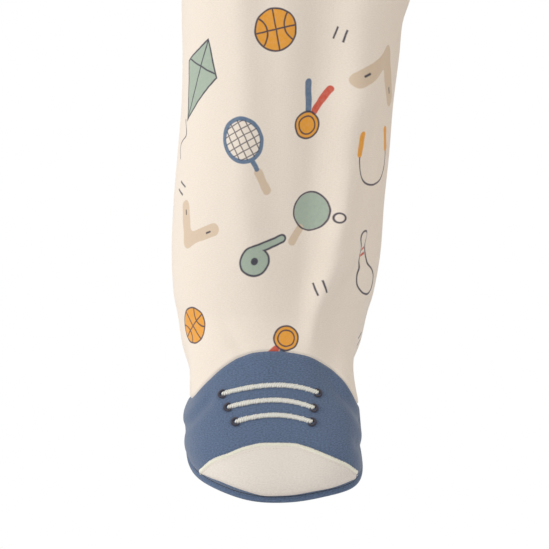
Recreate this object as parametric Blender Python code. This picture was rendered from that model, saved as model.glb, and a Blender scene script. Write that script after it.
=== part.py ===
"""A footed baby sleepsuit for three to six months, filled out as it is when worn.

The suit is four cut panels (front and back, each with half the body and a whole leg), two sleeves,
two cuffs, a neckband, a front band with press studs, and feet made like little laced shoes: an upper
with three embroidered laces, a toe cap and a sole. Each piece is a cloth wall of its own, and pieces
that are sewn together lie a seam's gap apart.

The origin is midway between the two places where neckband and shoulder seam meet. +Z is up, -Y is the
wearer's front and +X is the wearer's left. Tables are in millimetres and the meshes in metres.
"""

import math
from bisect import bisect_right
from collections import namedtuple

import bmesh
import bpy
from mathutils import Vector

MM = 0.001

# Cloth
JERSEY = 1.5  # wall of the interlock body cloth
RIB = 2.0  # wall of the neckband and the cuffs
TRIM = 1.1  # wall of the toe cap and of the front band
SEAM_GAP = 0.3  # between two pieces that are sewn together, and under what lies on a panel
EDGE = SEAM_GAP / 2
TURN_EDGE = 0.0012  # the same half gap, in turns round a leg or the body

# Body
NECK_DROP_FRONT = 36.0
NECK_DROP_BACK = 8.0
NECKBAND_LEVELS = (0.3, 5.5, 11.0)  # above the neckline
SHOULDER_TIP = 22.0
UNDERARM = 112.0
ARMHOLE_TURN = 0.40  # how far the armhole reaches round from the side seam
RISE_TOP = 262.0  # where the body starts to divide into legs
CROTCH = 334.0
RISE_BESIDE = 0.7  # turns from the centre seams over which the legs come to start more softly
BODY_SQUARENESS = 0.07
LEG_SQUARENESS = 0.05

# Sleeves
SLEEVE_ANGLE = math.radians(35)  # from hanging straight down
SLEEVE_START = 98.0  # of the sleeve's axis, from the middle of the body
SLEEVE_LENGTH = 168.0
CUFF_LENGTH = 30.0
SLEEVE_EASE = 62.0  # over this length the armhole turns into a round sleeve
SHOULDER_SLOPE = math.radians(26)  # at which the sleeve leaves the shoulder
SLEEVE_TOP_ROWS = (8.0, 17.0, 28.0)
CUFF_INSET = 0.6  # the cuff's face, inside the sleeve's
CUFF_TURN = 2.0  # from the cuff's seam to its first row

# Feet
ANKLE = 496.0  # the last level ring of the leg
FOOT_SPAN = 60.0  # how far the rows of the foot count on below the ankle
SOLE_LENGTH = 110.0
SOLE_TILT = math.radians(28)  # toes lower than the heel
SOLE_HALF_WIDTH = 35.8
SOLE_WIDENS = 3.0  # towards the toe, and narrows by it towards the heel
TOE_LEAN = 2.0  # of the tip of the toe towards the other foot, and of the heel away from it
SQUARE_OUTER = 2.6  # powers of the sole's oval: 2 is an ellipse, and more is squarer
SQUARE_INNER = 3.9
SQUARE_HEEL = 2.5
TOE_TIP = (-65.0, 573.2)  # the seam at the tip of the toe: forward, down
VAMP_REACH = 122.0  # degrees from the toe to where the upper runs out at the sole
# How far the seam rises at the toe's corners, degrees from the toe, below 0 on the inner side
Corner = namedtuple("Corner", "rise angle width")
CORNERS = (Corner(2.4, -35.0, 19.0), Corner(2.0, 38.0, 20.0))

# How the foot's curve leaves the ankle and meets the seam of the sole, at the heel and at the toe
Handle = namedtuple("Handle", "heel toe")
FROM_ANKLE = Handle(8.0, 26.0)  # straight on down the leg
ABOVE_SOLE = Handle(8.0, 17.5)
BEYOND_SOLE = Handle(3.0, 5.0)
FLATTER_INSIDE = 2.6  # so much less beyond the sole on the inner side

# The seam of the upper draws the cloth in
DIP_TOE = 0.4
DIP_SIDE = 1.8
DIP_SIDE_AT = 80.0  # degrees from the toe
DIP_FADES_AT = 95.0
DIP_WIDTH = 5.0

# The upper's top seam: degrees from the toe, below 0 on the inner side, and how far down the foot
Topline = namedtuple("Topline", "angle share")
TOPLINE = (
    Topline(-VAMP_REACH, 0.960),
    Topline(-108, 0.820),
    Topline(-90, 0.705),
    Topline(-78, 0.635),
    Topline(-66, 0.552),
    Topline(-56, 0.445),
    Topline(-48, 0.352),
    Topline(-41, 0.286),
    Topline(-30, 0.243),
    Topline(-15, 0.204),
    Topline(0, 0.192),
    Topline(15, 0.211),
    Topline(30, 0.272),
    Topline(46, 0.378),
    Topline(62, 0.492),
    Topline(76, 0.575),
    Topline(90, 0.650),
    Topline(108, 0.800),
    Topline(VAMP_REACH, 0.960),
)

# The toe cap from its inner end to its outer one: degrees from the toe, and its top and its foot, as
# shares of the foot above the seam of the sole
CapEdge = namedtuple("CapEdge", "angle top foot")
CAP = (
    CapEdge(-47.2, 0.092, 0.026),
    CapEdge(-44, 0.130, 0.034),
    CapEdge(-40, 0.178, 0.034),
    CapEdge(-31, 0.250, 0.024),
    CapEdge(-22, 0.309, 0.028),
    CapEdge(-14, 0.347, 0.025),
    CapEdge(-9, 0.358, 0.022),
    CapEdge(0, 0.363, 0.020),
    CapEdge(8, 0.360, 0.018),
    CapEdge(14, 0.345, 0.029),
    CapEdge(20, 0.320, 0.040),
    CapEdge(28, 0.267, 0.048),
    CapEdge(34, 0.225, 0.050),
    CapEdge(39, 0.177, 0.044),
    CapEdge(45, 0.097, 0.036),
    CapEdge(47.4, 0.070, 0.028),
)
LIFT = 0.45  # off the upper's rounded face, of the cap, the laces and the eyelets

# The sole from its middle out to the seam: how far out, as a share, and how far under the seam
SoleRing = namedtuple("SoleRing", "share under")
SOLE = (
    SoleRing(0.0, 5.9),
    SoleRing(0.55, 5.6),
    SoleRing(0.86, 4.6),
    SoleRing(0.97, 3.3),
    SoleRing(1.01, 2.0),
    SoleRing(1.0, EDGE),
)
RIM_LEAN = 0.2  # of the sole's rim, out of level

Torso = namedtuple("Torso", "down half_width front back")
TORSO = (
    Torso(-16, 45.0, 27.0, 31.0),
    Torso(0, 56.0, 34.0, 36.0),
    Torso(8, 78.0, 38.0, 39.5),
    Torso(16, 97.0, 41.5, 43.0),
    Torso(22, 106.0, 44.5, 45.5),
    Torso(40, 106.5, 50.0, 50.0),
    Torso(70, 101.5, 55.5, 54.0),
    Torso(112, 96.0, 60.0, 57.0),
    Torso(160, 95.5, 63.5, 58.5),
    Torso(210, 101.5, 66.0, 62.0),
    Torso(260, 111.5, 67.0, 67.0),
    Torso(300, 120.5, 64.5, 67.5),
    Torso(334, 126.5, 59.0, 64.0),
)

Leg = namedtuple("Leg", "down centre outer inner front back")
LEG = (
    Leg(262, 76.0, 37.5, 76.0, 56.0, 58.0),
    Leg(320, 79.6, 45.6, 79.6, 51.5, 55.5),
    Leg(334, 80.6, 46.2, 80.4, 49.5, 53.5),
    Leg(336, 80.7, 46.3, 71.2, 49.2, 53.1),
    Leg(340, 80.9, 46.4, 64.7, 48.7, 52.4),
    Leg(347, 81.2, 46.5, 58.0, 47.8, 51.2),
    Leg(356, 81.5, 46.6, 52.7, 46.8, 50.0),
    Leg(366, 81.6, 46.5, 49.4, 45.5, 48.5),
    Leg(374, 81.6, 46.4, 46.8, 44.5, 47.0),
    Leg(387, 81.9, 45.8, 45.8, 42.5, 44.5),
    Leg(408, 83.4, 44.7, 44.7, 40.0, 41.5),
    Leg(429, 85.1, 44.7, 44.7, 38.5, 39.5),
    Leg(450, 87.0, 44.5, 44.5, 37.5, 38.5),
    Leg(471, 88.2, 44.1, 44.1, 36.5, 37.5),
    Leg(488, 89.3, 42.2, 42.2, 35.5, 36.5),
    Leg(496, 89.8, 40.2, 40.2, 35.0, 36.0),
    Leg(505, 89.9, 38.2, 38.2, 34.5, 35.5),
)

Sleeve = namedtuple("Sleeve", "down radius")
SLEEVE = (
    Sleeve(0, 40.0),
    Sleeve(40, 32.5),
    Sleeve(85, 29.0),
    Sleeve(135, 25.5),
    Sleeve(160, 23.5),
    Sleeve(168, 21.5),
    Sleeve(200, 20.5),
)

# A fold runs from one point to the other on a half of the body or a leg: turn 0 is the centre front or
# the inner leg, 0.5 the front of the leg, 1 the side seam and 1.5 the back of the leg. A trough has a
# height below 0. half is "both", or the wearer's "left" or "right".
Fold = namedtuple("Fold", "half turn_a down_a turn_b down_b width height")
FOLDS = (
    Fold("both", 0.412, 330, 0.403, 474, 16.0, -5.4),
    Fold("both", 0.315, 350, 0.310, 455, 6.5, 2.6),
    Fold("both", 0.325, 466, 0.355, 499, 4.6, 2.7),
    Fold("both", 0.13, 462, 0.28, 512, 8.0, -2.6),
    Fold("right", 0.61, 372, 0.58, 448, 5.0, -0.7),
    Fold("left", 0.66, 384, 0.60, 440, 6.0, -1.2),
    Fold("both", 0.97, 523, 1.12, 532, 9.5, -3.6),
    Fold("both", 1.86, 532, 2.03, 521, 9.0, -3.8),
    Fold("both", 1.36, 380, 1.44, 486, 8.0, -2.2),
    Fold("right", 1.72, 430, 1.60, 500, 7.0, -1.8),
    Fold("left", 1.70, 415, 1.64, 490, 7.0, -1.5),
    Fold("both", 0.10, 326, 0.52, 278, 8.0, -2.4),
    Fold("both", 0.04, 304, 0.40, 240, 8.0, -1.6),
    Fold("both", 1.90, 322, 1.50, 288, 8.0, -2.4),
    Fold("right", 0.70, 116, 0.52, 178, 8.0, -1.8),
    Fold("left", 0.72, 120, 0.46, 190, 8.0, -1.6),
    Fold("both", 1.28, 118, 1.42, 186, 8.0, -1.6),
    Fold("right", 0.96, 232, 0.62, 256, 8.0, -1.6),
    Fold("left", 1.04, 214, 0.70, 244, 8.0, -1.5),
)
FOLD_TURN = 135.0  # cloth in one turn, for measuring how far a point lies from a fold
FOLD_END = 1.6  # how much softer a fold ends than it is wide
FOLD_LAP = 30.0  # over this length below the crotch a fold comes to run on across the inner leg

SleeveFold = namedtuple("SleeveFold", "around_a down_a around_b down_b width height")
SLEEVE_FOLD_DEGREE = 0.5  # cloth in one degree round the sleeve
SLEEVE_FOLDS = (
    SleeveFold(150, 34, 70, 66, 7.0, -2.2),
    SleeveFold(210, 30, 290, 70, 7.0, -2.0),
    SleeveFold(175, 84, 95, 104, 6.0, -1.6),
    SleeveFold(165, 108, 255, 122, 6.0, -1.5),
    SleeveFold(60, 128, 20, 160, 5.0, -1.0),
)

# Laces on the upper, each a bar of satin stitch from the eyelet at its outer end to the inner one
Lace = namedtuple("Lace", "share outer inner sag tilt")
LACES = (
    Lace(0.357, 31.0, 27.3, 0.0545, 0.008),
    Lace(0.427, 27.2, 23.9, 0.0505, 0.0015),
    Lace(0.498, 22.6, 22.0, 0.046, 0.0),
)
LACE_STEPS = 8
LACE_WIDTH = 2.6
LACE_HEIGHT = 0.9
LACE_SECTION = ((-0.5, 0.0), (-0.42, 0.6), (0.0, 1.0), (0.42, 0.6), (0.5, 0.0))  # shares of both
LACE_TAPER = 0.55  # at its two ends
EYELET_INNER = 1.5
EYELET_OUTER = 2.5
EYELET_HEIGHT = 0.5
EYELET_SWEEP = 115.0  # degrees each way from the lace's end
EYELET_STEPS = 6

# Front band and press studs
BAND_HALF = 9.0
BAND_END = 281.0
BAND_BELOW_NECK = 1.0  # its top, below the neckband's
STUD_RADIUS = 4.8
STUD_HEIGHT = 1.5
STUD_COUNT = 7
STUD_FIRST = 36.0
STUD_LAST = 268.0
STUD_STEPS = 10
STUD_PROFILE = (  # shares of the radius and of the height
    (0.0, 0.62),
    (0.45, 0.62),
    (0.62, 1.0),
    (0.85, 0.9),
    (1.0, 0.35),
    (1.0, 0.0),
    (0.0, 0.0),
)

# How finely the pieces are made
PANEL_COLUMNS = 10
SIDE_COLUMNS = 2  # of a back panel, from the side seam to where the upper runs out
SHOULDER_ROW = 7.5
BODY_ROW = 17.0
ARCH_ROWS = (2.0, 6.0, 13.0)  # below the crotch, where the legs part
LEG_ROW = 13.6
RISE_ROWS = 6
ARM_ROWS = 9
SLEEVE_COLUMNS = 2 * ARM_ROWS
HEEL_COLUMNS = 6
FOOT_ROWS = (0.35, 0.65, 0.87, 1.0)  # shares of the way from the ankle to the seam of the upper
UPPER_ROWS = (0.0, 0.07, 0.16, 0.30, 0.48, 0.66, 0.84, 1.0)  # and from there to the sole
CAP_ROWS = 5
CAP_COLUMNS = 7  # on each side

CREAM = ("cream_jersey", (0.87, 0.79, 0.69, 1.0), 0.9, 0.0)
CREAM_RIB = ("cream_rib", (0.86, 0.78, 0.68, 1.0), 0.9, 0.0)
BLUE = ("blue_jersey", (0.115, 0.165, 0.26, 1.0), 0.9, 0.0)
THREAD = ("lace_thread", (0.78, 0.77, 0.66, 1.0), 0.55, 0.0)
EYELET_THREAD = ("eyelet_thread", (0.035, 0.035, 0.05, 1.0), 0.6, 0.0)
STUD_METAL = ("press_stud", (0.80, 0.75, 0.68, 1.0), 0.35, 0.6)


# ---------------------------------------------------------------- tables and curves


def between(rows, place):
    """The table's row at that place in its first column, eased between the rows that are given."""
    i = max(0, min(len(rows) - 2, bisect_right([row[0] for row in rows], place) - 1))
    low, high = rows[i], rows[i + 1]
    before, after = rows[max(i - 1, 0)], rows[min(i + 2, len(rows) - 1)]
    span = high[0] - low[0]
    s = (place - low[0]) / span
    values = []
    for a, b, c, d in zip(before, low, high, after, strict=True):
        slope_low = (c - a) / (high[0] - before[0])
        slope_high = (d - b) / (after[0] - low[0])
        values.append(
            b * (1 + 2 * s) * (1 - s) ** 2
            + c * s * s * (3 - 2 * s)
            + slope_low * span * s * (1 - s) ** 2
            - slope_high * span * s * s * (1 - s)
        )
    return type(low)(*values)


def ease(s):
    s = max(0.0, min(1.0, s))
    return s * s * (3 - 2 * s)


def mix(a, b, share):
    return a + (b - a) * share


def oval(angle, across_plus, across_minus, front, back, squareness):
    """A point of an oval, angle 0 at its front: across, forward."""
    s, c = math.sin(angle), math.cos(angle)
    across = (across_plus if s > 0 else across_minus) * s * (1 + squareness * c * c)
    forward = (front if c > 0 else back) * c * (1 + squareness * s * s)
    return across, forward


def stripe(x, y, x_a, y_a, x_b, y_b, width):
    """How strongly a soft fold from a to b, of that width, is felt at x, y: from 0 to 1."""
    dx, dy = x_b - x_a, y_b - y_a
    length = math.hypot(dx, dy)
    along = ((x - x_a) * dx + (y - y_a) * dy) / length
    off = ((x - x_a) * dy - (y - y_a) * dx) / length
    past = max(0.0, -along, along - length)
    return math.exp(-((off / width) ** 2) - (past / (FOLD_END * width)) ** 2)


# ---------------------------------------------------------------- the outer surface, wearer's left half


def torso_point(turn, down):
    row = between(TORSO, down)
    across, forward = oval(
        turn * math.pi / 2, row.half_width, row.half_width, row.front, row.back, BODY_SQUARENESS
    )
    return Vector((across, -forward, -down))


def leg_point(turn, down):
    row = between(LEG, down)
    across, forward = oval(
        (turn - 0.5) * math.pi, row.outer, row.inner, row.front, row.back, LEG_SQUARENESS
    )
    return Vector((row.centre + across, -forward, -down))


def body_point(turn, down):
    """Body and leg, which turn into each other between the top of the rise and the crotch."""
    if down <= RISE_TOP:
        return torso_point(turn, down)
    if down >= CROTCH:
        return leg_point(turn, down)
    way = (down - RISE_TOP) / (CROTCH - RISE_TOP)
    beside = ease(min(turn, 2 - turn) / RISE_BESIDE)
    return mix(torso_point(turn, down), leg_point(turn, down), mix(way**3, ease(way), beside))


def toe_angle(turn):
    """Degrees round the foot from the toe, below 0 on the inner side."""
    return ((turn + 0.5) % 2 - 1) * 180


def sole_axes():
    """Towards the toe, and out of the sole."""
    c, s = math.cos(SOLE_TILT), math.sin(SOLE_TILT)
    return Vector((0, -c, -s)), Vector((0, s, -c))


def sole_point(angle):
    """The seam round the sole, angle 0 at the tip of the toe and pi at the heel, and the way out of it."""
    toe, _ = sole_axes()
    s, c = math.sin(angle), math.cos(angle)
    half = SOLE_LENGTH / 2
    power = SQUARE_HEEL if c < 0 else SQUARE_OUTER if s > 0 else SQUARE_INNER
    reach = (abs(s) ** power + abs(c) ** power) ** (-1 / power)
    along = half * (c * reach - 1)
    across = (SOLE_HALF_WIDTH + SOLE_WIDENS * c) * s * reach - TOE_LEAN * c
    centre = between(LEG, ANKLE).centre
    tip = Vector((centre, TOE_TIP[0], -TOE_TIP[1]))
    degrees = toe_angle(angle / math.pi + 0.5)
    rise = sum(r.rise * math.exp(-(((degrees - r.angle) / r.width) ** 2)) for r in CORNERS)
    outward = (Vector((s, 0, 0)) + toe * c).normalized()
    return tip + toe * along + Vector((across, 0, rise)), outward


def foot_point(turn, share):
    """The foot between the ankle, share 0, and the seam round the sole, share 1."""
    angle = (turn - 0.5) * math.pi
    frontness = (1 + math.cos(angle)) / 2
    start = leg_point(turn, ANKLE)
    fall = leg_point(turn, ANKLE + 1) - leg_point(turn, ANKLE - 1)
    end, outward = sole_point(angle)
    _, under = sole_axes()
    first = start + fall.normalized() * mix(*FROM_ANKLE, frontness)
    beyond = mix(*BEYOND_SOLE, frontness) - FLATTER_INSIDE * max(0.0, -math.sin(angle))
    second = end - under * mix(*ABOVE_SOLE, frontness) + outward * beyond
    rest = 1 - share
    return (
        start * rest**3
        + first * (3 * rest * rest * share)
        + second * (3 * rest * share * share)
        + end * share**3
    )


def vamp_share(angle):
    """Where the upper starts, as a share of the foot, at that angle in degrees from the toe."""
    return between(TOPLINE, max(-VAMP_REACH, min(VAMP_REACH, angle))).share


def fold_height(turn, down, half):
    """All the folds' heights. Below the crotch turn 2 is turn 0, so a fold at one is felt at the other."""
    height = 0.0
    across = ease((down - CROTCH) / FOLD_LAP)
    laps = ((0, 1.0), (2, across), (-2, across))
    for fold in FOLDS:
        if fold.half not in ("both", half):
            continue
        for lap, share in laps:
            height += (
                share
                * fold.height
                * stripe(
                    (turn + lap) * FOLD_TURN,
                    down,
                    fold.turn_a * FOLD_TURN,
                    fold.down_a,
                    fold.turn_b * FOLD_TURN,
                    fold.down_b,
                    fold.width,
                )
            )
    return height


def seam_dip(turn, down):
    """The seam of the upper draws the cloth in, most at the sides."""
    angle = toe_angle(turn)
    off = (down - ANKLE) - FOOT_SPAN * vamp_share(angle)
    depth = mix(DIP_TOE, DIP_SIDE, ease(abs(angle) / DIP_SIDE_AT))
    left = 1 - ease((abs(angle) - DIP_FADES_AT) / (VAMP_REACH - DIP_FADES_AT))
    return -depth * left * math.exp(-((off / DIP_WIDTH) ** 2))


def smooth_skin(turn, down):
    if down <= ANKLE:
        return body_point(turn, down)
    return foot_point(turn, (down - ANKLE) / FOOT_SPAN)


def skin_normal(turn, down):
    across = smooth_skin(turn + 0.01, down) - smooth_skin(turn - 0.01, down)
    fall = smooth_skin(turn, down + 0.8) - smooth_skin(turn, down - 0.8)
    return fall.cross(across).normalized()


def skin(turn, down, half, out=0.0):
    """A point of the suit's outer surface, moved out by so much, and the way out there."""
    normal = skin_normal(turn, down)
    height = fold_height(turn, down, half) + seam_dip(turn, down)
    return smooth_skin(turn, down) + normal * (height + out), normal


# ---------------------------------------------------------------- sleeves, wearer's left


def armhole_point(around):
    """A point of the armhole, around 0 at the shoulder, 90 at the front and 180 under the arm."""
    a = math.radians(around)
    middle, half = (SHOULDER_TIP + UNDERARM) / 2, (UNDERARM - SHOULDER_TIP) / 2
    return torso_point(1 - ARMHOLE_TURN * math.sin(a), middle - half * math.cos(a))


def smooth_sleeve(around, down):
    """The sleeve's outer surface at a distance down its axis from the armhole."""
    a = math.radians(around)
    axis = Vector((math.sin(SLEEVE_ANGLE), 0, -math.cos(SLEEVE_ANGLE)))
    up = Vector((math.cos(SLEEVE_ANGLE), 0, math.sin(SLEEVE_ANGLE)))
    middle = Vector((SLEEVE_START, 0, -(SHOULDER_TIP + UNDERARM) / 2))
    radius = between(SLEEVE, down).radius
    round_point = middle + axis * down + (up * math.cos(a) + Vector((0, -1, 0)) * math.sin(a)) * radius
    slope = Vector((math.cos(SHOULDER_SLOPE), 0, -math.sin(SHOULDER_SLOPE)))
    leaving = mix(axis, slope, (1 + math.cos(a)) / 2).normalized()
    return mix(armhole_point(around) + leaving * down, round_point, ease(down / SLEEVE_EASE))


def sleeve_skin(around, down, out=0.0):
    across = smooth_sleeve(around + 1, down) - smooth_sleeve(around - 1, down)
    fall = smooth_sleeve(around, down + 0.8) - smooth_sleeve(around, down - 0.8)
    normal = across.cross(fall).normalized()
    height = out
    for fold in SLEEVE_FOLDS:
        height += fold.height * stripe(
            around * SLEEVE_FOLD_DEGREE,
            down,
            fold.around_a * SLEEVE_FOLD_DEGREE,
            fold.down_a,
            fold.around_b * SLEEVE_FOLD_DEGREE,
            fold.down_b,
            fold.width,
        )
    return smooth_sleeve(around, down) + normal * height, normal


# ---------------------------------------------------------------- meshes


def material_of(recipe):
    name, colour, roughness, metallic = recipe
    found = bpy.data.materials.get(name)
    if found:
        return found
    made = bpy.data.materials.new(name)
    made.use_nodes = True
    shader = made.node_tree.nodes["Principled BSDF"]
    shader.inputs["Base Color"].default_value = colour
    shader.inputs["Roughness"].default_value = roughness
    shader.inputs["Metallic"].default_value = metallic
    made.diffuse_color = colour
    return made


def add_object(name, bm, recipe, smooth=True):
    bmesh.ops.remove_doubles(bm, verts=bm.verts, dist=1e-7)
    bmesh.ops.dissolve_degenerate(bm, edges=bm.edges, dist=1e-7)
    bmesh.ops.recalc_face_normals(bm, faces=bm.faces)
    mesh = bpy.data.meshes.new(name)
    bm.to_mesh(mesh)
    bm.free()
    mesh.materials.append(material_of(recipe))
    if smooth:
        mesh.shade_smooth()
        mesh.set_sharp_from_angle(angle=math.radians(50))
    made = bpy.data.objects.new(name, mesh)
    bpy.context.scene.collection.objects.link(made)
    return made


def placed(point, half):
    """A point of the wearer's left half in metres, or its mirror image on the right half."""
    return Vector((point.x if half == "left" else -point.x, point.y, point.z)) * MM


def wall(name, outer, inner, half, recipe, tube=False):
    """A cloth wall between two grids of points. A tube's rows close on themselves."""
    bm = bmesh.new()
    grids = [[[bm.verts.new(placed(p, half)) for p in row] for row in grid] for grid in (outer, inner)]
    rows, columns = len(outer), len(outer[0])
    steps = columns if tube else columns - 1

    def quad(a, b, c, d):
        """Two triangles that meet at the lowest corner, so that the rims of two sewn pieces break alike."""
        corners = [a, b, c, d]
        low = min(range(4), key=lambda i: corners[i].co.z)
        a, b, c, d = corners[low:] + corners[:low]
        bm.faces.new((a, b, c))
        bm.faces.new((a, c, d))

    for r in range(rows - 1):
        for c in range(steps):
            n = (c + 1) % columns
            for grid in grids:
                bm.faces.new((grid[r][c], grid[r][n], grid[r + 1][n], grid[r + 1][c]))
    front, back = grids
    for r in (0, rows - 1):
        for c in range(steps):
            n = (c + 1) % columns
            quad(front[r][c], back[r][c], back[r][n], front[r][n])
    if not tube:
        for c in (0, columns - 1):
            for r in range(rows - 1):
                quad(front[r][c], back[r][c], back[r + 1][c], front[r + 1][c])
    return add_object(name, bm, recipe)


def own_side(point):
    """The point, kept clear of the other half of the body."""
    return Vector((max(point.x, EDGE), point.y, point.z))


def skin_wall(name, places, half, recipe, thickness, out=0.0):
    """A wall on the suit's surface, from a grid of (turn, down)."""
    outer, inner = [], []
    for row in places:
        found = [skin(turn, down, half, out) for turn, down in row]
        outer.append([own_side(point) for point, _ in found])
        inner.append([own_side(point - normal * thickness) for point, normal in found])
    return wall(name, outer, inner, half, recipe)


# ---------------------------------------------------------------- panels


def row_levels(first, last, step):
    count = max(1, round((last - first) / step))
    return [mix(first, last, i / count) for i in range(count + 1)]


def panel_levels():
    """The rows of a panel from the neck to the ankle, as (down, how far the armhole cuts in)."""
    levels = [(down, 0.0) for down in row_levels(0, SHOULDER_TIP - SEAM_GAP, SHOULDER_ROW)]
    middle, half = (SHOULDER_TIP + UNDERARM) / 2, (UNDERARM - SHOULDER_TIP) / 2 + EDGE
    for i in range(ARM_ROWS + 1):
        a = math.pi * i / ARM_ROWS
        levels.append((middle - half * math.cos(a), (ARMHOLE_TURN + TURN_EDGE) * math.sin(a)))
    levels += [(down, 0.0) for down in row_levels(UNDERARM, RISE_TOP, BODY_ROW)[1:]]
    for i in range(1, RISE_ROWS + 1):
        levels.append((CROTCH - (CROTCH - RISE_TOP) * (1 - math.sin(math.pi / 2 * i / RISE_ROWS)), 0.0))
    legs = [CROTCH + row for row in ARCH_ROWS]
    legs += row_levels(legs[-1], ANKLE, LEG_ROW)[1:]
    return levels + [(down, 0.0) for down in legs]


def neck_dip(share, drop):
    """How far the neckline lies below the neck point: share 0 at the centre, 1 at the shoulder."""
    return drop * math.cos(share * math.pi / 2) ** 2


def vamp_edge(angle, away):
    """The seam of the upper, moved away from it by so much cloth, in rows of the foot."""
    half = "left"
    turn = 0.5 + angle / 180
    down = ANKLE + FOOT_SPAN * vamp_share(angle)
    step = 0.004
    ahead = ANKLE + FOOT_SPAN * vamp_share(angle + step * 180)
    across = (skin(turn + step, down, half)[0] - skin(turn, down, half)[0]).length
    fall = (skin(turn, down + 0.5, half)[0] - skin(turn, down - 0.5, half)[0]).length
    slope = (ahead - down) * fall / max(across, 1e-6)
    return min(FOOT_SPAN, down - ANKLE + away * math.hypot(1, slope) / fall)


def panel_places(shares, turn_at, drop, centre_first, bottom):
    """The grid of a panel. turn_at gives a column's turn from its share and the armhole's cut."""
    places = []
    for down, cut in panel_levels():
        fade = max(0.0, 1 - down / UNDERARM)
        row = []
        for share in shares:
            from_centre = share if centre_first else 1 - share
            row.append((turn_at(share, cut), down + fade * neck_dip(from_centre, drop)))
        places.append(row)
    last = [bottom(turn_at(share, 0.0)) for share in shares]
    for way in FOOT_ROWS:
        places.append([(turn_at(share, 0.0), mix(ANKLE, end, way)) for share, end in zip(shares, last)])
    return places


def make_front(half):
    shares = [i / PANEL_COLUMNS for i in range(PANEL_COLUMNS + 1)]

    def turn_at(share, cut):
        return mix(TURN_EDGE, 1 - TURN_EDGE - cut, share)

    def bottom(turn):
        return ANKLE + vamp_edge((turn - 0.5) * 180, -EDGE)

    places = panel_places(shares, turn_at, NECK_DROP_FRONT, True, bottom)
    return skin_wall(f"front_{half}", places, half, CREAM, JERSEY)


def back_columns():
    """Where a back panel's columns stand, from 0 at the side seam to 1. Two flank the end of the upper."""
    upper_end = VAMP_REACH / 180 - 0.5
    side = [upper_end * i / SIDE_COLUMNS for i in range(SIDE_COLUMNS + 1)]
    heel = [mix(upper_end, 1 - upper_end, i / HEEL_COLUMNS) for i in range(1, HEEL_COLUMNS)]
    past_upper = upper_end + 3 * TURN_EDGE
    return side + [past_upper] + heel + [1 - past_upper] + [1 - share for share in reversed(side)]


def make_back(half):
    def turn_at(share, cut):
        return mix(1 + TURN_EDGE + cut, 2 - TURN_EDGE, share)

    def bottom(turn):
        angle = toe_angle(turn)
        beside_upper = abs(angle) < VAMP_REACH + 1.5 * TURN_EDGE * 180
        return ANKLE + (vamp_edge(angle, -EDGE) if beside_upper else FOOT_SPAN - EDGE)

    places = panel_places(back_columns(), turn_at, NECK_DROP_BACK, False, bottom)
    return skin_wall(f"back_{half}", places, half, CREAM, JERSEY)


def make_neckband():
    """A ring of rib, open at the centre front, with its columns over those of the panels."""
    front = [mix(2 * TURN_EDGE, 1, i / PANEL_COLUMNS) for i in range(PANEL_COLUMNS)]
    around = front + [1 + share for share in back_columns()]
    places = [(-1, turn) for turn in around] + [(1, turn) for turn in reversed(around[:-1])]
    outer, inner = [], []
    for level in NECKBAND_LEVELS:
        points, moved = [], []
        for side, turn in places:
            dip = neck_dip(turn, NECK_DROP_FRONT) if turn < 1 else neck_dip(2 - turn, NECK_DROP_BACK)
            point = torso_point(turn, dip - level)
            inside = point - skin_normal(turn, dip - level) * RIB
            points.append(Vector((side * point.x, point.y, point.z)))
            moved.append(Vector((side * inside.x, inside.y, inside.z)))
        outer.append(points)
        inner.append(moved)
    return wall("neckband", outer, inner, "left", CREAM_RIB)


def front_skin(across, down, out):
    """A point over the centre front, so far across it and moved out, and the way out there."""
    half = "left" if across >= 0 else "right"
    turn = math.asin(abs(across) / between(TORSO, down).half_width) / (math.pi / 2)
    point, normal = skin(turn, down, half, out)
    sign = 1 if across >= 0 else -1
    flip = Vector((sign, 1, 1))
    return point * flip, normal * flip


def make_front_band():
    """The band that holds the press studs, from the top of the neckband to above the crotch."""
    top = NECKBAND_LEVELS[-1] - BAND_BELOW_NECK
    downs = [NECK_DROP_FRONT - level for level in (top, *NECKBAND_LEVELS[-2::-1])]
    for down, _ in panel_levels():
        at_centre = down + max(0.0, 1 - down / UNDERARM) * NECK_DROP_FRONT
        if at_centre < BAND_END:
            downs.append(at_centre)
    columns = (-BAND_HALF, -BAND_HALF / 2, 0.0, BAND_HALF / 2, BAND_HALF)
    outer = [[front_skin(x, down, SEAM_GAP + TRIM)[0] for x in columns] for down in downs]
    inner = [[front_skin(x, down, SEAM_GAP)[0] for x in columns] for down in downs]
    return wall("front_band", outer, inner, "left", CREAM)


def make_stud(index, down):
    """A press stud's cap: a low dome with a dished middle, turned about its own axis."""
    base, normal = front_skin(0.0, down, 2 * SEAM_GAP + TRIM)
    bm = bmesh.new()
    chain = [bm.verts.new(Vector((STUD_RADIUS * r, 0, STUD_HEIGHT * z)) * MM) for r, z in STUD_PROFILE]
    edges = [bm.edges.new(pair) for pair in zip(chain, chain[1:])]
    bmesh.ops.spin(
        bm, geom=chain + edges, cent=(0, 0, 0), axis=(0, 0, 1), angle=math.tau, steps=STUD_STEPS
    )
    made = add_object(f"press_stud_{index}", bm, STUD_METAL)
    made.location = base * MM
    made.rotation_mode = "QUATERNION"
    made.rotation_quaternion = normal.to_track_quat("Z", "Y")
    return made


# ---------------------------------------------------------------- sleeves and cuffs


def sleeve_wall(name, levels, thickness, half, recipe, inset=0.0):
    outer, inner = [], []
    for down in levels:
        ring = [sleeve_skin(360 * i / SLEEVE_COLUMNS, down, -inset) for i in range(SLEEVE_COLUMNS)]
        outer.append([point for point, _ in ring])
        inner.append([point - normal * thickness for point, normal in ring])
    return wall(name, outer, inner, half, recipe, tube=True)


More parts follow.
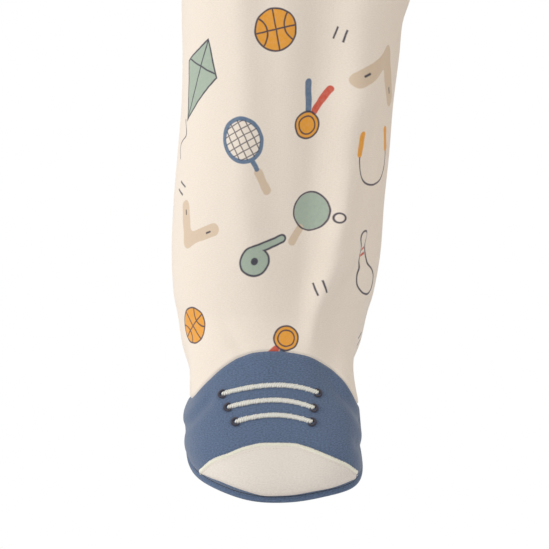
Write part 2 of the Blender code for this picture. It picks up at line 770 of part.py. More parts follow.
def make_sleeve(half):
    levels = [SEAM_GAP, *SLEEVE_TOP_ROWS[:-1], *row_levels(SLEEVE_TOP_ROWS[-1], SLEEVE_LENGTH, BODY_ROW)]
    return sleeve_wall(f"sleeve_{half}", levels, JERSEY, half, CREAM)


def make_cuff(half):
    start = SLEEVE_LENGTH + SEAM_GAP
    levels = [start, start + CUFF_TURN, start + CUFF_LENGTH]
    return sleeve_wall(f"cuff_{half}", levels, RIB, half, CREAM_RIB, inset=CUFF_INSET)


# ---------------------------------------------------------------- feet


def upper_angles():
    """Where the columns of the upper stand, in degrees from the toe: those of the panels above it."""
    front = [mix(-90, 90, i / PANEL_COLUMNS) for i in range(PANEL_COLUMNS + 1)]
    side = [mix(90, VAMP_REACH, i / SIDE_COLUMNS) for i in range(1, SIDE_COLUMNS + 1)]
    return [-angle for angle in reversed(side)] + front + side


def make_vamp(half):
    """The upper, from the seam on the leg to the sole."""
    places = [[] for _ in UPPER_ROWS]
    for angle in upper_angles():
        top = vamp_edge(angle, EDGE)
        for way, row in zip(UPPER_ROWS, places):
            row.append((0.5 + angle / 180, ANKLE + mix(top, FOOT_SPAN - EDGE, way)))
    return skin_wall(f"vamp_{half}", places, half, BLUE, JERSEY)


def cap_rim(angle):
    """Where the toe cap starts and ends, as shares of the foot, at that angle in degrees from the toe."""
    edge = between(CAP, angle)
    return 1 - edge.top, 1 - edge.foot


def make_toe_cap(half):
    outer_side = [CAP[-1].angle * i / CAP_COLUMNS for i in range(1, CAP_COLUMNS + 1)]
    inner_side = [CAP[0].angle * i / CAP_COLUMNS for i in range(CAP_COLUMNS, -1, -1)]
    places = [[] for _ in range(CAP_ROWS)]
    for angle in inner_side + outer_side:
        for r, row in enumerate(places):
            share = mix(*cap_rim(angle), r / (CAP_ROWS - 1))
            row.append((0.5 + angle / 180, ANKLE + FOOT_SPAN * share))
    return skin_wall(f"toe_cap_{half}", places, half, CREAM, TRIM, out=LIFT + TRIM)


def make_sole(half):
    """A soft oval that swells out under the seam."""
    _, under = sole_axes()
    heel = [mix(VAMP_REACH, 360 - VAMP_REACH, i / HEEL_COLUMNS) for i in range(1, HEEL_COLUMNS)]
    seam = [sole_point(math.radians(angle)) for angle in upper_angles() + heel]
    middle = (sole_point(0)[0] + sole_point(math.pi)[0]) / 2
    outer, inner = [], []
    for ring, before, after in zip(SOLE, SOLE[:1] + SOLE, SOLE[1:] + SOLE[-1:]):
        points, moved = [], []
        for point, outward in seam:
            reach = (point - middle).length
            run = (after.share - before.share) * reach
            fall = after.under - before.under
            normal = (under * run - outward * fall).normalized()
            place = mix(middle, point, ring.share) + under * ring.under
            points.append(place)
            moved.append(place - normal * JERSEY)
        outer.append(points)
        inner.append(moved)
    outer[-1] = [point - outward * EDGE + under * EDGE for point, outward in seam]
    inner[-1] = [p - (outward + under * RIM_LEAN) * JERSEY for p, (_, outward) in zip(outer[-1], seam)]
    return wall(f"sole_{half}", outer, inner, half, BLUE, tube=True)


def vamp_skin(angle, share, half, out):
    return skin(0.5 + angle / 180, ANKLE + FOOT_SPAN * share, half, out)


def lace_place(lace, s):
    """Angle and share along a lace, s from -1 at its inner end to 1."""
    reach = lace.outer if s > 0 else lace.inner
    return reach * s, lace.share + lace.tilt * s + lace.sag * s * s


def make_lace(index, lace, half):
    """A low rounded bar of stitches that lies on the upper."""
    bm = bmesh.new()
    rings = []
    for i in range(LACE_STEPS + 1):
        s = 2 * i / LACE_STEPS - 1
        here, normal = vamp_skin(*lace_place(lace, s), half, 0.0)
        ahead, _ = vamp_skin(*lace_place(lace, s + 0.02), half, 0.0)
        across = normal.cross(ahead - here).normalized()
        taper = 1.0 if 0 < i < LACE_STEPS else LACE_TAPER
        ring = []
        for width, height in LACE_SECTION:
            aside = across * (LACE_WIDTH * width * taper)
            up = normal * (LIFT + LACE_HEIGHT * height * taper)
            ring.append(bm.verts.new(placed(here + aside + up, half)))
        rings.append(ring)
    for a, b in zip(rings, rings[1:]):
        for k in range(len(LACE_SECTION)):
            n = (k + 1) % len(LACE_SECTION)
            bm.faces.new((a[k], a[n], b[n], b[k]))
    bm.faces.new(rings[0])
    bm.faces.new(rings[-1])
    return add_object(f"lace_{index}_{half}", bm, THREAD)


def make_eyelet(index, lace, end, half):
    """A flat hook of dark stitches round a lace's end."""
    angle, share = lace_place(lace, end)
    here, normal = vamp_skin(angle, share, half, 0.0)
    before, _ = vamp_skin(*lace_place(lace, end * 0.9), half, 0.0)
    outward = (here - before).normalized()
    aside = normal.cross(outward)
    outer, inner = [], []
    for i in range(EYELET_STEPS + 1):
        a = math.radians(mix(-EYELET_SWEEP, EYELET_SWEEP, i / EYELET_STEPS))
        way = outward * math.cos(a) + aside * math.sin(a)
        low = [here + way * r + normal * LIFT for r in (EYELET_INNER, EYELET_OUTER)]
        inner.append(low)
        outer.append([p + normal * EYELET_HEIGHT for p in low])
    name = f"eyelet_{index}_{'outer' if end > 0 else 'inner'}_{half}"
    return wall(name, outer, inner, half, EYELET_THREAD)


def make_foot(half):
    make_vamp(half)
    make_toe_cap(half)
    make_sole(half)
    for index, lace in enumerate(LACES, start=1):
        make_lace(index, lace, half)
        make_eyelet(index, lace, -1, half)
        make_eyelet(index, lace, 1, half)


def main():
    for old in list(bpy.data.objects):
        bpy.data.objects.remove(old)
    for half in ("right", "left"):
        make_front(half)
        make_back(half)
        make_sleeve(half)
        make_cuff(half)
        make_foot(half)
    make_neckband()
    make_front_band()
    for index, down in enumerate(
        row_levels(STUD_FIRST, STUD_LAST, (STUD_LAST - STUD_FIRST) / (STUD_COUNT - 1)), start=1
    ):
        make_stud(index, down)


main()
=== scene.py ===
"""Dresses the footed sleepsuit's solids: printed cotton, rib, jersey feet, stitching and press studs.

The suit's surface is worked out from the same sizes and tables as its solids, in millimetres, on a finer
grid and with finer creases. A place on it is (turn, down): turn 0 is the centre front or the inner leg,
0.5 the front of the leg, 1 the side seam, 1.5 the back of the leg and 2 the centre back or the inner leg,
and down is counted from the shoulders' neck points. Meshes are in metres.
"""

import math

import bmesh
import bpy
import numpy as np
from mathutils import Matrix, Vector


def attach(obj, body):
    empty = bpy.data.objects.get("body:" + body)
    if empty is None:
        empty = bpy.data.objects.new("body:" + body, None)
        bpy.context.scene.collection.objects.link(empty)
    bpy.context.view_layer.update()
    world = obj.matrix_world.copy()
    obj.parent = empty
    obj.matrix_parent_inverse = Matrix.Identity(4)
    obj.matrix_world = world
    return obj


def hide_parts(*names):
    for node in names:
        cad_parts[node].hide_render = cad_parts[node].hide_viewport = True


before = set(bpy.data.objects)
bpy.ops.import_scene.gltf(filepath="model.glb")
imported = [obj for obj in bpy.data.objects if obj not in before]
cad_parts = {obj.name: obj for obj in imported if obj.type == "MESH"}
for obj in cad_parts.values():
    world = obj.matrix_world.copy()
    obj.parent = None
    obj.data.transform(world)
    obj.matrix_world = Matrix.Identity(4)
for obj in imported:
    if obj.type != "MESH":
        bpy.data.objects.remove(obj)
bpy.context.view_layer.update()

bl_info = {
    "name": "Footed Sleepsuit",
    "version": (1, 0, 0),
    "blender": (4, 5, 0),
    "location": "3D View > Sidebar > Sleepsuit",
    "description": "Cloth, rib, stitching, shoe-like feet and press studs for a baby's footed sleepsuit",
    "category": "Object",
}

MM = 0.001
HALVES = ("right", "left")


# ---------------------------------------------------------------- sizes of the suit

JERSEY = 1.5  # thickness of the cloth walls
RIB = 2.0
TRIM = 1.1
SEAM = 0.03  # half the gap that is left where two edges are sewn together
TURN_SEAM = 0.0003  # the same, as a part of a turn

NECK_DROP_FRONT = 36.0
NECK_DROP_BACK = 8.0
NECKBAND_HEIGHT = 11.0
SHOULDER_TIP = 22.0  # down to the top of the armhole
UNDERARM = 112.0
ARMHOLE_MIDDLE = (SHOULDER_TIP + UNDERARM) / 2
ARMHOLE_HALF = (UNDERARM - SHOULDER_TIP) / 2
ARMHOLE_TURN = 0.40
RISE_TOP = 262.0
CROTCH = 334.0
RISE_BESIDE = 0.7
BODY_SQUARENESS = 0.07
LEG_SQUARENESS = 0.05

SLEEVE_ANGLE = math.radians(35)
SLEEVE_START = 98.0
SLEEVE_LENGTH = 168.0
CUFF_LENGTH = 30.0
SLEEVE_EASE = 62.0
SLEEVE_SEAM = 0.05
SHOULDER_SLOPE = math.radians(26)
CUFF_INSET = 0.6

ANKLE = 496.0
FOOT_SPAN = 60.0
SOLE_LENGTH = 110.0
SOLE_TILT = math.radians(28)
SOLE_HALF_WIDTH = 35.8
SOLE_WIDENS = 3.0
TOE_LEAN = 2.0
SQUARE_OUTER = 2.6
SQUARE_INNER = 3.9
SQUARE_HEEL = 2.5
CORNERS = ((2.4, -35.0, 19.0), (2.0, 38.0, 20.0))  # rise, degrees from the toe, width
TOE_TIP = (-65.0, 573.2)
VAMP_REACH = 122.0
FROM_ANKLE = (8.0, 26.0)  # at the heel, at the toe
ABOVE_SOLE = (8.0, 17.5)
BEYOND_SOLE = (3.0, 5.0)
FLATTER_INSIDE = 2.6  # less swell over the sole's inner side

# the upper's seam: degrees from the toe, below 0 on the inner side, and share of the foot
TOPLINE = (
    (-VAMP_REACH, 0.960),
    (-108, 0.820),
    (-90, 0.705),
    (-78, 0.635),
    (-66, 0.552),
    (-56, 0.445),
    (-48, 0.352),
    (-41, 0.286),
    (-30, 0.243),
    (-15, 0.204),
    (0, 0.192),
    (15, 0.211),
    (30, 0.272),
    (46, 0.378),
    (62, 0.492),
    (76, 0.575),
    (90, 0.650),
    (108, 0.800),
    (VAMP_REACH, 0.960),
)
# degrees from the toe, shares of the foot above the sole at the cap's top and foot
CAP = (
    (-47.2, 0.092, 0.026),
    (-44, 0.130, 0.034),
    (-40, 0.178, 0.034),
    (-31, 0.250, 0.024),
    (-22, 0.309, 0.028),
    (-14, 0.347, 0.025),
    (-9, 0.358, 0.022),
    (0, 0.363, 0.020),
    (8, 0.360, 0.018),
    (14, 0.345, 0.029),
    (20, 0.320, 0.040),
    (28, 0.267, 0.048),
    (34, 0.225, 0.050),
    (39, 0.177, 0.044),
    (45, 0.097, 0.036),
    (47.4, 0.070, 0.028),
)
LIFT = 0.3  # of the toe cap, over the upper

CAP_ROUND = 1.3  # how far from its edge the cap has its full thickness
CAP_EDGE_AT = 0.014  # from the cap's top to the middle of its satin edge, as a share of the foot
CAP_ROW_AT = 0.036
CAP_EDGE_RISE = 0.75

# how deep the upper's seam draws the cloth in, and how far to each side of it
DRAWN_TOE = 0.4
DRAWN_INSIDE = 0.5
DRAWN_OUTSIDE = 1.8
DRAWN_WIDTH = 5.0
DRAWN_FULLY = 80.0  # degrees from the toe
DRAWN_UNTIL = 95.0

# ring of the sole, share of the way out from its middle, swell under its seam
SOLE = ((0, 0.0, 5.9), (1, 0.55, 5.6), (2, 0.86, 4.6), (3, 0.97, 3.3), (4, 1.01, 2.0), (5, 1.0, 0.1))

# down, half width, front, back
TORSO = (
    (-16, 45.0, 27.0, 31.0),
    (0, 56.0, 34.0, 36.0),
    (8, 78.0, 38.0, 39.5),
    (16, 97.0, 41.5, 43.0),
    (22, 106.0, 44.5, 45.5),
    (40, 106.5, 50.0, 50.0),
    (70, 101.5, 55.5, 54.0),
    (112, 96.0, 60.0, 57.0),
    (160, 95.5, 63.5, 58.5),
    (210, 101.5, 66.0, 62.0),
    (260, 111.5, 67.0, 67.0),
    (300, 120.5, 64.5, 67.5),
    (334, 126.5, 59.0, 64.0),
)

# down, centre, outer, inner, front, back
LEG = (
    (262, 76.0, 37.5, 76.0, 56.0, 58.0),
    (320, 79.6, 45.6, 79.6, 51.5, 55.5),
    (334, 80.6, 46.2, 80.4, 49.5, 53.5),
    (336, 80.7, 46.3, 71.2, 49.2, 53.1),
    (340, 80.9, 46.4, 64.7, 48.7, 52.4),
    (347, 81.2, 46.5, 58.0, 47.8, 51.2),
    (356, 81.5, 46.6, 52.7, 46.8, 50.0),
    (366, 81.6, 46.5, 49.4, 45.5, 48.5),
    (374, 81.6, 46.4, 46.8, 44.5, 47.0),
    (387, 81.9, 45.8, 45.8, 42.5, 44.5),
    (408, 83.4, 44.7, 44.7, 40.0, 41.5),
    (429, 85.1, 44.7, 44.7, 38.5, 39.5),
    (450, 87.0, 44.5, 44.5, 37.5, 38.5),
    (471, 88.2, 44.1, 44.1, 36.5, 37.5),
    (488, 89.3, 42.2, 42.2, 35.5, 36.5),
    (496, 89.8, 40.2, 40.2, 35.0, 36.0),
    (505, 89.9, 38.2, 38.2, 34.5, 35.5),
)

# down the sleeve, radius
SLEEVE = ((0, 40.0), (40, 32.5), (85, 29.0), (135, 25.5), (160, 23.5), (168, 21.5), (200, 20.5))

# half, turn_a, down_a, turn_b, down_b, width, height
FOLDS = (
    ("both", 0.412, 330, 0.403, 474, 16.0, -5.4),
    ("both", 0.315, 350, 0.310, 455, 6.5, 2.6),
    ("both", 0.325, 466, 0.355, 499, 4.6, 2.7),
    ("both", 0.13, 462, 0.28, 512, 8.0, -2.6),
    ("right", 0.61, 372, 0.58, 448, 5.0, -0.7),
    ("left", 0.66, 384, 0.60, 440, 6.0, -1.2),
    ("both", 0.97, 523, 1.12, 532, 9.5, -3.6),
    ("both", 1.86, 532, 2.03, 521, 9.0, -3.8),
    ("both", 1.36, 380, 1.44, 486, 8.0, -2.2),
    ("right", 1.72, 430, 1.60, 500, 7.0, -1.8),
    ("left", 1.70, 415, 1.64, 490, 7.0, -1.5),
    ("both", 0.10, 326, 0.52, 278, 8.0, -2.4),
    ("both", 0.04, 304, 0.40, 240, 8.0, -1.6),
    ("both", 1.90, 322, 1.50, 288, 8.0, -2.4),
    ("right", 0.70, 116, 0.52, 178, 8.0, -1.8),
    ("left", 0.72, 120, 0.46, 190, 8.0, -1.6),
    ("both", 1.28, 118, 1.42, 186, 8.0, -1.6),
    ("right", 0.96, 232, 0.62, 256, 8.0, -1.6),
    ("left", 1.04, 214, 0.70, 244, 8.0, -1.5),
)
FOLD_TURN = 135.0  # cloth in one turn
FOLD_END = 1.6
FOLD_LAP = 30.0

# around_a, down_a, around_b, down_b, width, height
SLEEVE_FOLDS = (
    (150, 34, 70, 66, 7.0, -2.2),
    (210, 30, 290, 70, 7.0, -2.0),
    (175, 84, 95, 104, 6.0, -1.6),
    (165, 108, 255, 122, 6.0, -1.5),
    (60, 128, 20, 160, 5.0, -1.0),
)
SLEEVE_FOLD_DEGREE = 0.5

# share, reach on the outer side and the inner one, sag, tilt
LACES = (
    (0.357, 31.0, 27.3, 0.0545, 0.008),
    (0.427, 27.2, 23.9, 0.0505, 0.0015),
    (0.498, 22.6, 22.0, 0.046, 0.0),
)
LACE_RISE = 0.35
EYELET_RADIUS = 1.75
EYELET_SWEEP = 115.0
EYELET_BEYOND = 0.15  # its middle, past the end of the lace
EYELET_RISE = 0.45

BAND_HALF = 9.0
BAND_END = 280.6
BAND_TOP = 10.0  # above the neckline
BAND_RISE = 0.3
BAND_ROUND = 0.7  # how far from an edge the band has its full thickness
BAND_DRAWN = 0.16  # how deep its row of stitches draws it in
BAND_SEWN = 1.7  # from an edge of the band to its row of stitches
NECK_SEWN = 1.8  # from the neckline to its row of stitches
UNDERLAP = 0.02  # from the cloth to what is laid on it
STUD_RADIUS = 4.8
STUD_HEIGHT = 1.5
STUD_COUNT = 7
STUD_FIRST = 36.0
STUD_LAST = 268.0

# where each piece lies on the printed cloth, across and up
PRINT_SHIFTS = {
    "front_right": (0.0, 0.0),
    "front_left": (47.0, 61.0),
    "back_right": (-31.0, 24.0),
    "back_left": (18.0, 97.0),
    "sleeve_right": (22.0, 40.0),
    "sleeve_left": (-12.0, 88.0),
    "front_band": (31.0, 9.0),
}


# ---------------------------------------------------------------- stage

AMBIENT = 0.67
AMBIENT_COLOUR = (1.0, 0.975, 0.945)
BACKDROP_RADIUS = 18.0
FLOOR_DOWN = -0.64
FLOOR_RADIUS = 0.75
FLOOR_SOLID = 0.15
SENSOR = 36.0
VIEW_WIDTH = 0.23058
VIEW_DISTANCE = 4.0
VIEW_PLANE = 0.03  # in front of the middle of the suit
VIEW_CENTRE = (-0.08887, -0.48033)
# name, place, where it points, size, power, colour
LIGHTS = (
    ("key", (-3.05, -1.1, 0.5), (0.0, 0.0, -0.35), 2.6, 55.0, (1.0, 0.985, 0.975)),
    ("fill", (2.0, -2.2, 0.0), (0.0, 0.0, -0.35), 1.8, 7.0, (1.0, 0.985, 0.97)),
)


# ---------------------------------------------------------------- finer creases, only on the cloth

# half, turn_a, down_a, turn_b, down_b, width, height
CREASES = (
    ("both", 0.435, 352, 0.425, 420, 3.4, -0.4),
    ("both", 0.405, 426, 0.415, 488, 3.0, -0.4),
    ("both", 0.65, 350, 0.58, 466, 6.5, 0.9),
    ("both", 0.585, 350, 0.515, 460, 8.0, -2.1),
    ("both", 0.19, 462, 0.325, 484, 5.0, 1.3),
    ("both", 0.66, 500, 0.60, 509, 2.4, -0.5),
    ("both", 0.72, 505, 0.52, 512, 2.6, 0.55),
    ("both", 0.25, 505, 0.36, 500, 2.6, -0.5),
    ("both", 0.20, 478, 0.30, 494, 3.0, -0.6),
    ("both", 0.17, 400, 0.22, 452, 3.4, -0.5),
    ("both", 0.215, 330, 0.265, 404, 9.0, 4.6),
    ("both", 0.265, 410, 0.292, 470, 6.0, 1.9),
    ("both", 0.418, 340, 0.410, 470, 9.0, -0.6),
    ("both", 0.285, 440, 0.315, 492, 4.5, 0.9),
    ("both", 0.255, 521, 0.11, 538, 2.6, -1.2),
    ("both", 0.20, 541, 0.03, 560, 3.0, -1.1),
    ("both", 0.735, 524.5, 0.96, 548, 2.4, -1.1),
    ("both", 0.77, 543, 0.92, 553, 3.5, 0.5),
)


# ---------------------------------------------------------------- tables and curves


def between(rows, place):
    """The columns after the first of a table at those places, eased between the rows that are given."""
    rows, place = np.asarray(rows, float), np.asarray(place, float)
    i = np.clip(np.searchsorted(rows[:, 0], place, side="right") - 1, 0, len(rows) - 2)
    low, high = rows[i], rows[i + 1]
    before, after = rows[np.maximum(i - 1, 0)], rows[np.minimum(i + 2, len(rows) - 1)]
    span = high[..., :1] - low[..., :1]
    s = (place[..., None] - low[..., :1]) / span
    slope_low = (high - before) / (high[..., :1] - before[..., :1])
    slope_high = (after - low) / (after[..., :1] - low[..., :1])
    eased = (
        low * (1 + 2 * s) * (1 - s) ** 2
        + high * s * s * (3 - 2 * s)
        + slope_low * span * s * (1 - s) ** 2
        - slope_high * span * s * s * (1 - s)
    )
    return np.moveaxis(eased[..., 1:], -1, 0)


def ease(s):
    s = np.clip(s, 0, 1)
    return s * s * (3 - 2 * s)


def mix(a, b, share):
    return a + (b - a) * share


def unit(v):
    return v / np.maximum(np.linalg.norm(v, axis=-1, keepdims=True), 1e-12)


def points(x, y, z):
    return np.stack(np.broadcast_arrays(x, y, z), axis=-1).astype(float)


def run_along(grid, axis=0):
    """The way along a grid of points from its first row, or column, to each point."""
    first = np.take(grid, [0], axis=axis)
    return np.cumsum(np.linalg.norm(np.diff(grid, axis=axis, prepend=first), axis=-1), axis=axis)


def levelled(a, b):
    """Two sets of places as arrays of one shape."""
    return np.broadcast_arrays(np.asarray(a, float), np.asarray(b, float))


def stripe(x, y, x_a, y_a, x_b, y_b, width):
    """How strongly a soft fold from a to b is felt at x, y: from 0 to 1."""
    dx, dy = x_b - x_a, y_b - y_a
    length = math.hypot(dx, dy)
    along = ((x - x_a) * dx + (y - y_a) * dy) / length
    off = ((x - x_a) * dy - (y - y_a) * dx) / length
    past = np.maximum(0, np.maximum(-along, along - length))
    return np.exp(-((off / width) ** 2) - (past / (FOLD_END * width)) ** 2)


# ---------------------------------------------------------------- the suit's surface, wearer's left half


def oval(angle, plus, minus, front, back, squareness):
    """Across and forward at an angle round an oval, which reaches that far to each of its four sides."""
    s, c = np.sin(angle), np.cos(angle)
    across = np.where(s > 0, plus, minus) * s * (1 + squareness * c * c)
    forward = np.where(c > 0, front, back) * c * (1 + squareness * s * s)
    return across, forward


def torso_point(turn, down):
    half_width, front, back = between(TORSO, down)
    across, forward = oval(turn * math.pi / 2, half_width, half_width, front, back, BODY_SQUARENESS)
    return points(across, -forward, -down)


def leg_point(turn, down):
    centre, outer, inner, front, back = between(LEG, down)
    across, forward = oval((turn - 0.5) * math.pi, outer, inner, front, back, LEG_SQUARENESS)
    return points(centre + across, -forward, -down)


def body_point(turn, down):
    """Body and leg, which turn into each other between the top of the rise and the crotch."""
    way = np.clip((down - RISE_TOP) / (CROTCH - RISE_TOP), 0, 1)
    share = mix(way**3, ease(way), ease(np.minimum(turn, 2 - turn) / RISE_BESIDE))[..., None]
    torso = torso_point(turn, np.minimum(down, CROTCH))
    return mix(torso, leg_point(turn, np.maximum(down, RISE_TOP)), share)


def toe_angle(turn):
    """Degrees round the foot from the toe, below 0 on the inner side."""
    return ((turn + 0.5) % 2 - 1) * 180


TOEWARD = np.array((0.0, -math.cos(SOLE_TILT), -math.sin(SOLE_TILT)))
UNDER = np.array((0.0, math.sin(SOLE_TILT), -math.cos(SOLE_TILT)))
ACROSS = np.array((1.0, 0.0, 0.0))
UP = np.array((0.0, 0.0, 1.0))


def sole_point(angle):
    """The seam round the sole, angle 0 at the tip of the toe, and the way out of it."""
    s, c = np.sin(angle), np.cos(angle)
    power = np.where(c < 0, SQUARE_HEEL, np.where(s > 0, SQUARE_OUTER, SQUARE_INNER))
    reach = (np.abs(s) ** power + np.abs(c) ** power) ** (-1 / power)
    along = SOLE_LENGTH / 2 * (c * reach - 1)
    across = (SOLE_HALF_WIDTH + SOLE_WIDENS * c) * s * reach - TOE_LEAN * c
    centre = float(between(LEG, ANKLE)[0])
    tip = np.array((centre, TOE_TIP[0], -TOE_TIP[1]))
    degrees = toe_angle(angle / math.pi + 0.5)
    rise = sum(rise * np.exp(-(((degrees - at) / width) ** 2)) for rise, at, width in CORNERS)
    outward = unit(ACROSS * s[..., None] + TOEWARD * c[..., None])
    return tip + TOEWARD * along[..., None] + ACROSS * across[..., None] + UP * rise[..., None], outward


def foot_point(turn, share):
    """The foot between the ankle, share 0, and the seam round the sole, share 1."""
    angle = (turn - 0.5) * math.pi
    frontness = ((1 + np.cos(angle)) / 2)[..., None]
    level = np.full_like(turn, ANKLE)
    start = leg_point(turn, level)
    fall = unit(leg_point(turn, level + 1) - leg_point(turn, level - 1))
    end, outward = sole_point(angle)
    first = start + fall * mix(*FROM_ANKLE, frontness)
    beyond = mix(*BEYOND_SOLE, frontness) - FLATTER_INSIDE * np.maximum(0, -np.sin(angle))[..., None]
    second = end - UNDER * mix(*ABOVE_SOLE, frontness) + outward * beyond
    s = share[..., None]
    rest = 1 - s
    return start * rest**3 + first * 3 * rest * rest * s + second * 3 * rest * s * s + end * s**3


def vamp_share(angle):
    return between(TOPLINE, np.clip(angle, -VAMP_REACH, VAMP_REACH))[0]


def fold_height(turn, down, half):
    """All the folds' heights. Below the crotch a fold at turn 2 is also felt at turn 0, which is the same."""
    height = np.zeros_like(turn)
    across = ease((down - CROTCH) / FOLD_LAP)
    for side, turn_a, down_a, turn_b, down_b, width, depth in FOLDS + CREASES:
        if side not in ("both", half):
            continue
        ends = (turn_a * FOLD_TURN, down_a, turn_b * FOLD_TURN, down_b)
        for lap, share in ((0, 1.0), (2, across), (-2, across)):
            height += share * depth * stripe((turn + lap) * FOLD_TURN, down, *ends, width)
    return height


def seam_dip(turn, down):
    """The seam of the upper draws the cloth in, most at the sides."""
    angle = toe_angle(turn)
    off = (down - ANKLE) - FOOT_SPAN * vamp_share(angle)
    beside = np.where(angle < 0, DRAWN_INSIDE, DRAWN_OUTSIDE)
    depth = mix(DRAWN_TOE, beside, ease(abs(angle) / DRAWN_FULLY))
    left = 1 - ease((abs(angle) - DRAWN_UNTIL) / (VAMP_REACH - DRAWN_UNTIL))
    return -depth * left * np.exp(-((off / DRAWN_WIDTH) ** 2))


def smooth_skin(turn, down):
    foot = foot_point(turn, np.maximum(down - ANKLE, 0) / FOOT_SPAN)
    return np.where((down > ANKLE)[..., None], foot, body_point(turn, np.minimum(down, ANKLE)))


def way_out(surface, around, down, step, fall_step=0.8):
    """The way out of a surface. The step is below 0 where its places run the other way round."""
    across = surface(around + step, down) - surface(around - step, down)
    fall = surface(around, down + fall_step) - surface(around, down - fall_step)
    return unit(np.cross(across, fall))


def skin(turn, down, half, out=0.0):
    """Points of the suit's outer surface, moved out by so much, and the ways out there."""
    turn, down = levelled(turn, down)
    normal = way_out(smooth_skin, turn, down, -0.01)
    height = fold_height(turn, down, half) + seam_dip(turn, down) + out
    return smooth_skin(turn, down) + normal * height[..., None], normal


def vamp_skin(angle, share, half, out=0.0):
    return skin(0.5 + np.asarray(angle) / 180, ANKLE + FOOT_SPAN * np.asarray(share), half, out)


def armhole_point(around):
    """The armhole on the body, in degrees round it from the shoulder."""
    a = np.radians(around)
    return torso_point(1 - ARMHOLE_TURN * np.sin(a), ARMHOLE_MIDDLE - ARMHOLE_HALF * np.cos(a))


def smooth_sleeve(around, down):
    """The sleeve without its folds: the armhole's oval, drawn out along the arm into round rings."""
    a = np.radians(around)[..., None]
    axis = np.array((math.sin(SLEEVE_ANGLE), 0, -math.cos(SLEEVE_ANGLE)))
    up = np.array((math.cos(SLEEVE_ANGLE), 0, math.sin(SLEEVE_ANGLE)))
    front = np.array((0.0, -1.0, 0.0))
    slope = np.array((math.cos(SHOULDER_SLOPE), 0, -math.sin(SHOULDER_SLOPE)))
    middle = np.array((SLEEVE_START, 0, -ARMHOLE_MIDDLE))
    radius = between(SLEEVE, down)[0][..., None]
    round_point = middle + axis * down[..., None] + (up * np.cos(a) + front * np.sin(a)) * radius
    leaving = unit(mix(axis, slope, (1 + np.cos(a)) / 2))
    start = armhole_point(around) + leaving * down[..., None]
    return mix(start, round_point, ease(down / SLEEVE_EASE)[..., None])


def sleeve_skin(around, down, out=0.0):
    around, down = levelled(around, down)
    normal = way_out(smooth_sleeve, around, down, 1)
    height = np.zeros_like(down) + out
    k = SLEEVE_FOLD_DEGREE
    for around_a, down_a, around_b, down_b, width, depth in SLEEVE_FOLDS:
        felt = stripe(around * k, down, around_a * k, down_a, around_b * k, down_b, width)
        height = height + depth * felt
    return smooth_sleeve(around, down) + normal * height[..., None], normal


# ---------------------------------------------------------------- grids of cloth

EDGE_STEPS = (0, 0.3, 0.7, 1.2, 1.9, 2.8)  # from a sewn edge to the columns or rows next to it
EVEN_FROM = 4.0
TURN_ROUND = 0.6  # how far cloth takes to turn in at a seam
PROUD_AT = 2.4
PROUD_WIDTH = 1.6
PANEL_WIDTH = 140.0  # of cloth, on average
PANEL_ROWS = {"armhole": 44, "body": 64, "rise": 28, "leg": 66}


def near_edges(count, edge):
    """Columns or rows from 0 to 1, closest together along both edges. edge is a millimetre's share."""
    near = np.array(EDGE_STEPS) * edge
    return np.concatenate([near, np.linspace(EVEN_FROM * edge, 1 - EVEN_FROM * edge, count), 1 - near[::-1]])


def neck_dip(share, drop):
    return drop * np.cos(share * math.pi / 2) ** 2


def panel_levels():
    """The rows of a panel from the neck to the ankle, as (down, how far the armhole cuts in)."""
    levels = [(d, 0.0) for d in SHOULDER_TIP * near_edges(6, 1 / SHOULDER_TIP)[:-4]]
    for a in np.linspace(0, math.pi, PANEL_ROWS["armhole"] + 1):
        down = ARMHOLE_MIDDLE - (ARMHOLE_HALF + SEAM) * math.cos(a)
        levels.append((down, (ARMHOLE_TURN + TURN_SEAM) * math.sin(a)))
    levels += [(d, 0.0) for d in np.linspace(UNDERARM, RISE_TOP, PANEL_ROWS["body"])[1:]]
    for a in np.linspace(0, math.pi / 2, PANEL_ROWS["rise"] + 1)[1:]:
        levels.append((RISE_TOP + (CROTCH - RISE_TOP) * math.sin(a), 0.0))
    return levels + [(d, 0.0) for d in np.linspace(CROTCH, ANKLE, PANEL_ROWS["leg"])[1:]]


def vamp_edge(angle, away, step=0.004):
    """The seam of the upper, moved away from it by so much cloth, as places down the suit."""
    turn = 0.5 + angle / 180
    down = ANKLE + FOOT_SPAN * vamp_share(angle)
    ahead = ANKLE + FOOT_SPAN * vamp_share(angle + step * 180)
    across = np.linalg.norm(smooth_skin(turn + step, down) - smooth_skin(turn, down), axis=-1)
    fall = np.linalg.norm(smooth_skin(turn, down + 0.5) - smooth_skin(turn, down - 0.5), axis=-1)
    slope = (ahead - down) * fall / across
    return np.minimum(ANKLE + FOOT_SPAN, down + away * np.hypot(1, slope) / fall)


def panel_grid(back):
    """The turns and the levels of a panel's points."""
    shares = near_edges(62, 1 / PANEL_WIDTH)
    drop = NECK_DROP_BACK if back else NECK_DROP_FRONT
    turns, downs = [], []
    for down, cut in panel_levels():
        low, high = (1 + TURN_SEAM + cut, 2 - TURN_SEAM) if back else (TURN_SEAM, 1 - TURN_SEAM - cut)
        from_centre = 1 - shares if back else shares
        turns.append(mix(low, high, shares))
        downs.append(down + max(0.0, 1 - down / UNDERARM) * neck_dip(from_centre, drop))
    turn = turns[-1]
    angle = toe_angle(turn)
    beside_upper = np.abs(angle) < VAMP_REACH
    last = np.where(beside_upper, vamp_edge(angle, -SEAM), ANKLE + FOOT_SPAN - SEAM)
    for way in (*np.linspace(0, 0.9, 19)[1:], 0.925, 0.95, 0.967, 0.98, 0.991, 1.0):
        turns.append(turn)
        downs.append(mix(ANKLE, last, way))
    return np.array(turns), np.array(downs)


